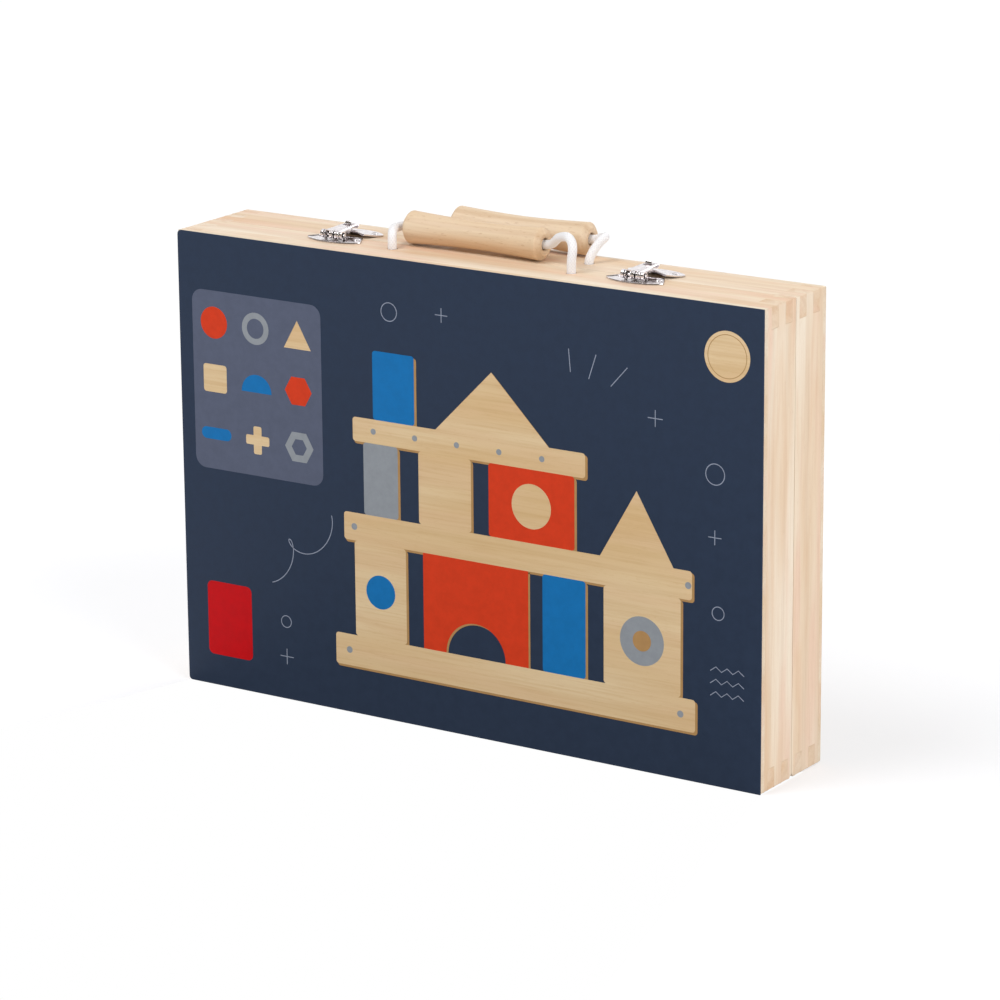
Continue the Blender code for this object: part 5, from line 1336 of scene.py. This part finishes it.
def rearStamping(name, x):
    # bows up from its two tips towards the seam, where one looks under it; its rows fan out from the neck to
    # the round outer edge
    v = latchValues
    rows = []
    for i in range(41):
        share = i / 40
        row = []
        for k in range(57):
            u = k / 28 - 1
            swung = math.sin(u * math.pi / 2)
            wide = v["neck"] * u * (1 - share) + v["halfWidth"] * swung * share
            out = v["gap"] + (plateReach(swung) - v["gap"]) * share
            fall = ramp(out, v["bowStart"], v["bowStart"] + v["bowDepth"])
            lift = v["bow"] * max(0.0, 1 - (wide / v["halfWidth"]) ** 2) * math.cos(fall * math.pi / 2) ** 2
            row.append((x + wide, seamPlane + out, v["low"] + v["thick"] / 2 + lift))
        rows.append(row)
    return sheetFrom(name, rows, v["rearSheet"])


def addRearPlate(word, x):
    v = latchValues
    tongue = [(v["tongue"], v["low"] + v["tongueFoot"] + v["tongueStep"] * i) for i in range(9)]
    tongue += [(v["tongue"] + back, height) for back, height in v["tongueCurl"]]
    strip = sheetAlong(word + "Tongue", tongue, v["tongueHalf"], 10, v["tongueThick"], v["tongueRound"])
    rear = joined(word + "LatchRear", [rearStamping(word + "RearStamping", x), moved(strip, x)])
    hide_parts(word + "_latch_rear_plate")
    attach(sharpened(rear), "rear_half")
    return rear


def addLatches():
    v = latchValues
    for word, x in v["places"]:
        for piece in (addFrontPlate(word, x), addHasp(word, x), addRearPlate(word, x)):
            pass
    for half, (aside, away, rise) in zip(("front", "rear"), v["screws"]):
        columns = [x + side * aside for _, x in v["places"] for side in (-1, 1)]
        points = [(column, seamPlane + away, v["low"] + rise) for column in columns]
        addScrews(half + "PlateScrews", "latch", points, (0, 0, 1), half + "_half")


addLatches()
print("latches")


# hinges

hingeValues = {"leafEdge": 0.15 * mm, "pinEdge": 0.12 * mm, "screwReach": 9 * mm}


def addHinges():
    v = hingeValues
    for word in ("left", "right"):
        for half in ("Front", "Rear"):
            node = f"{word}_hinge_{half.lower()}_leaf"
            refined(word + half + "HingeLeaf", node, nickel, v["leafEdge"])
        refined(word + "HingePin", word + "_hinge_pin", nickel, v["pinEdge"])
    for half, side in (("front", 1), ("rear", -1)):
        points = []
        for word in ("left", "right"):
            low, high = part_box(f"{word}_hinge_{half}_leaf")
            middle, face = (low[0] + high[0]) / 2, (high if side > 0 else low)[1]
            points += [(middle + way * v["screwReach"], face, (caseFoot + high[2]) / 2) for way in (-1, 1)]
        addScrews(half + "HingeScrews", "hinge", points, (0, side, 0), half + "_half")


addHinges()
print("hinges")


# tools, bars and blocks inside

barValues = {
    "pivots": {
        "front_half": [(91.5, -2.05, 123.7), (-76.0, -2.05, 123.7)],
        "rear_half": [(95.0, -1.35, 119.5), (31.0, -1.35, 119.5)],
    },
    "postEdge": 0.4 * mm, "screwRadius": 3.05, "sink": 0.12 * mm,
    "barPlanks": (20, 1.7), "postPlanks": (30, 2.1),
}
toolEdges = {"bar": 1.1 * mm, "board": 1.6 * mm, "thin": 0.8 * mm, "paint": 1.8 * mm}
toolPlank = 1.9
toolPieces = (
    ("lid_centre_block", beechX, "bar", "pale_wood"),
    ("base_stop_block", beechZ, "bar", "pale_wood"),
    ("square_blade", beechZ, "thin", "pale_wood"),
    ("square_stock", redPaint, "paint", "red_paint"),
    ("adjustable_wrench", beechZ, "board", "pale_wood"),
    ("screwdriver_blade", beechZ, "thin", "pale_wood"),
    ("screwdriver_handle", bluePaint, "thin", "blue_paint"),
    ("spanner", greyPaint, "board", "grey_paint"),
    ("saw_blade", plyZ, "thin", "pale_wood"),
    ("saw_handle", redPaint, "paint", "red_paint"),
    ("hammer_head", greyPaint, "board", "grey_paint"),
    ("hammer_shaft", beechZ, "thin", "pale_wood"),
    ("hammer_grip", bluePaint, "thin", "blue_paint"),
    ("wooden_pliers_front_arm", beechZ, "thin", "pale_wood"),
    ("wooden_pliers_rear_arm", beechZ, "thin", "pale_wood"),
    ("red_pliers_front_arm", redPaint, "thin", "red_paint"),
    ("red_pliers_rear_arm", redPaint, "thin", "red_paint"),
    ("drill_body", beechX, "board", "pale_wood"),
    ("drill_chuck", greyPaint, "thin", "silver_paint"),
    ("drill_side_grip", bluePaint, "thin", "blue_paint"),
    ("drill_trigger", redPaint, "thin", "red_paint"),
)
wormValues = {
    "centre": (61.8, 145.0), "face": -11.65 * mm, "frame": (7, 12, 3), "window": (5.6, 10.4, 1.4), "turns": 6,
    "low": -9.3, "pitch": 3.2, "half": 4.6, "slant": 0.9, "thread": 1.8,
}
rulerValues = {
    "start": (152.0, -20.64, 14.0), "shortShare": 0.45, "longerShares": ((5, 0.72), (10, 1.0)),
    "inputs": {
        "Count": 66, "Step": 2.5 * mm, "Length": 11.0 * mm, "Width": 0.35 * mm, "Height": 0.06 * mm,
    },
}


def screwZone(face):
    # the screw that the CAD joins to a bar's post
    place = face.calc_center_median() / mm
    pivots = [pivot for points in barValues["pivots"].values() for pivot in points]
    near = min(math.hypot(place.x - x, place.z - z) for x, _, z in pivots)
    return 1 if near < barValues["screwRadius"] else 0


def addBars():
    v = barValues
    (barStart, barStep), (postStart, postStep) = v["barPlanks"], v["postPlanks"]
    for number, word in enumerate(("lid_left", "lid_right", "base_left", "base_right")):
        name = word.title().replace("_", "")
        refined(name + "TurnBar", word + "_turn_bar", beechX, toolEdges["bar"],
                plank=barStart + number * barStep)
        refined(name + "Post", word + "_bar_post", [beechX, nickel], v["postEdge"], zone=screwZone,
                plank=postStart + number * postStep)
    for half, side in (("front", 1), ("rear", -1)):
        points = [Vector(p) * mm - Vector((0, side * v["sink"], 0)) for p in v["pivots"][half + "_half"]]
        addScrews(half + "BarScrews", "bar", points, (0, side, 0), half + "_half")


def addTools():
    for node, material, edge, slot in toolPieces:
        first, *others = node.removeprefix("lid_").removeprefix("base_").split("_")
        name = first + "".join(word.title() for word in others)
        refined(name, node, material, toolEdges[edge], plank=len(name) * toolPlank)


def addWorm():
    # the screw that would set a real wrench, printed on the toy's face
    v = wormValues
    u, w = v["centre"]
    shape = bmesh.new()
    layShape(boxAround(u, w, *v["frame"]), 1, "shade", shape, v["face"], 1)
    layShape(boxAround(u, w, *v["window"]), 2, "navy", shape, v["face"], 1)
    left, right = u - v["half"], u + v["half"]
    for i in range(v["turns"]):
        low = w + v["low"] + v["pitch"] * i
        high = low + v["slant"]
        thread = [(left, low), (right, high), (right, high + v["thread"]), (left, low + v["thread"])]
        layShape(thread, 3, "grey", shape, v["face"], 1)
    piece = fromBmesh("wrenchWorm", shape, *inks.values(), smooth=False)
    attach(piece, "front_half")


def tickTree():
    # a row of short lines, with a longer one at every fifth and tenth
    tree, given = startTree("rulerTicks", (
        ("Count", "Int"), ("Step", "Float"), ("Length", "Float"), ("Width", "Float"), ("Height", "Float"),
    ))
    line = addNode(tree, "GeometryNodeMeshLine", {
        "Count": given["Count"], "Offset": combined(tree, z=given["Step"]),
    })
    lines = addNode(tree, "GeometryNodeInstanceOnPoints", {
        "Points": given["Geometry"], "Instance": line.outputs[0],
    })
    places = addNode(tree, "GeometryNodeRealizeInstances", {"Geometry": lines.outputs[0]})
    number = addNode(tree, "GeometryNodeInputIndex").outputs[0]
    share = rulerValues["shortShare"]
    for every, longer in rulerValues["longerShares"]:
        onStep = mathNode(tree, "LESS_THAN", mathNode(tree, "MODULO", number, float(every)), 0.5)
        share = switchNode(tree, "FLOAT", onStep, share, longer)
    length = mathNode(tree, "MULTIPLY", share, given["Length"])
    placed = addNode(tree, "GeometryNodeSetPosition", {
        "Geometry": places.outputs[0], "Offset": combined(tree, mathNode(tree, "MULTIPLY", length, -0.5)),
    })
    tick = addNode(tree, "GeometryNodeMeshCube", {"Size": (1, 1, 1)})
    ticks = addNode(tree, "GeometryNodeInstanceOnPoints", {
        "Points": placed.outputs[0], "Instance": tick.outputs["Mesh"],
        "Scale": combined(tree, length, given["Height"], given["Width"]),
    })
    return finishTree(tree, ticks.outputs[0], given["Material"])


def addRuler():
    v = rulerValues
    ticks = grown("rulerTicks", [Vector(v["start"]) * mm], tickTree(), v["inputs"], inks["navy"])
    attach(ticks, "front_half")


addBars()
addTools()
addWorm()
addRuler()
print("tools")
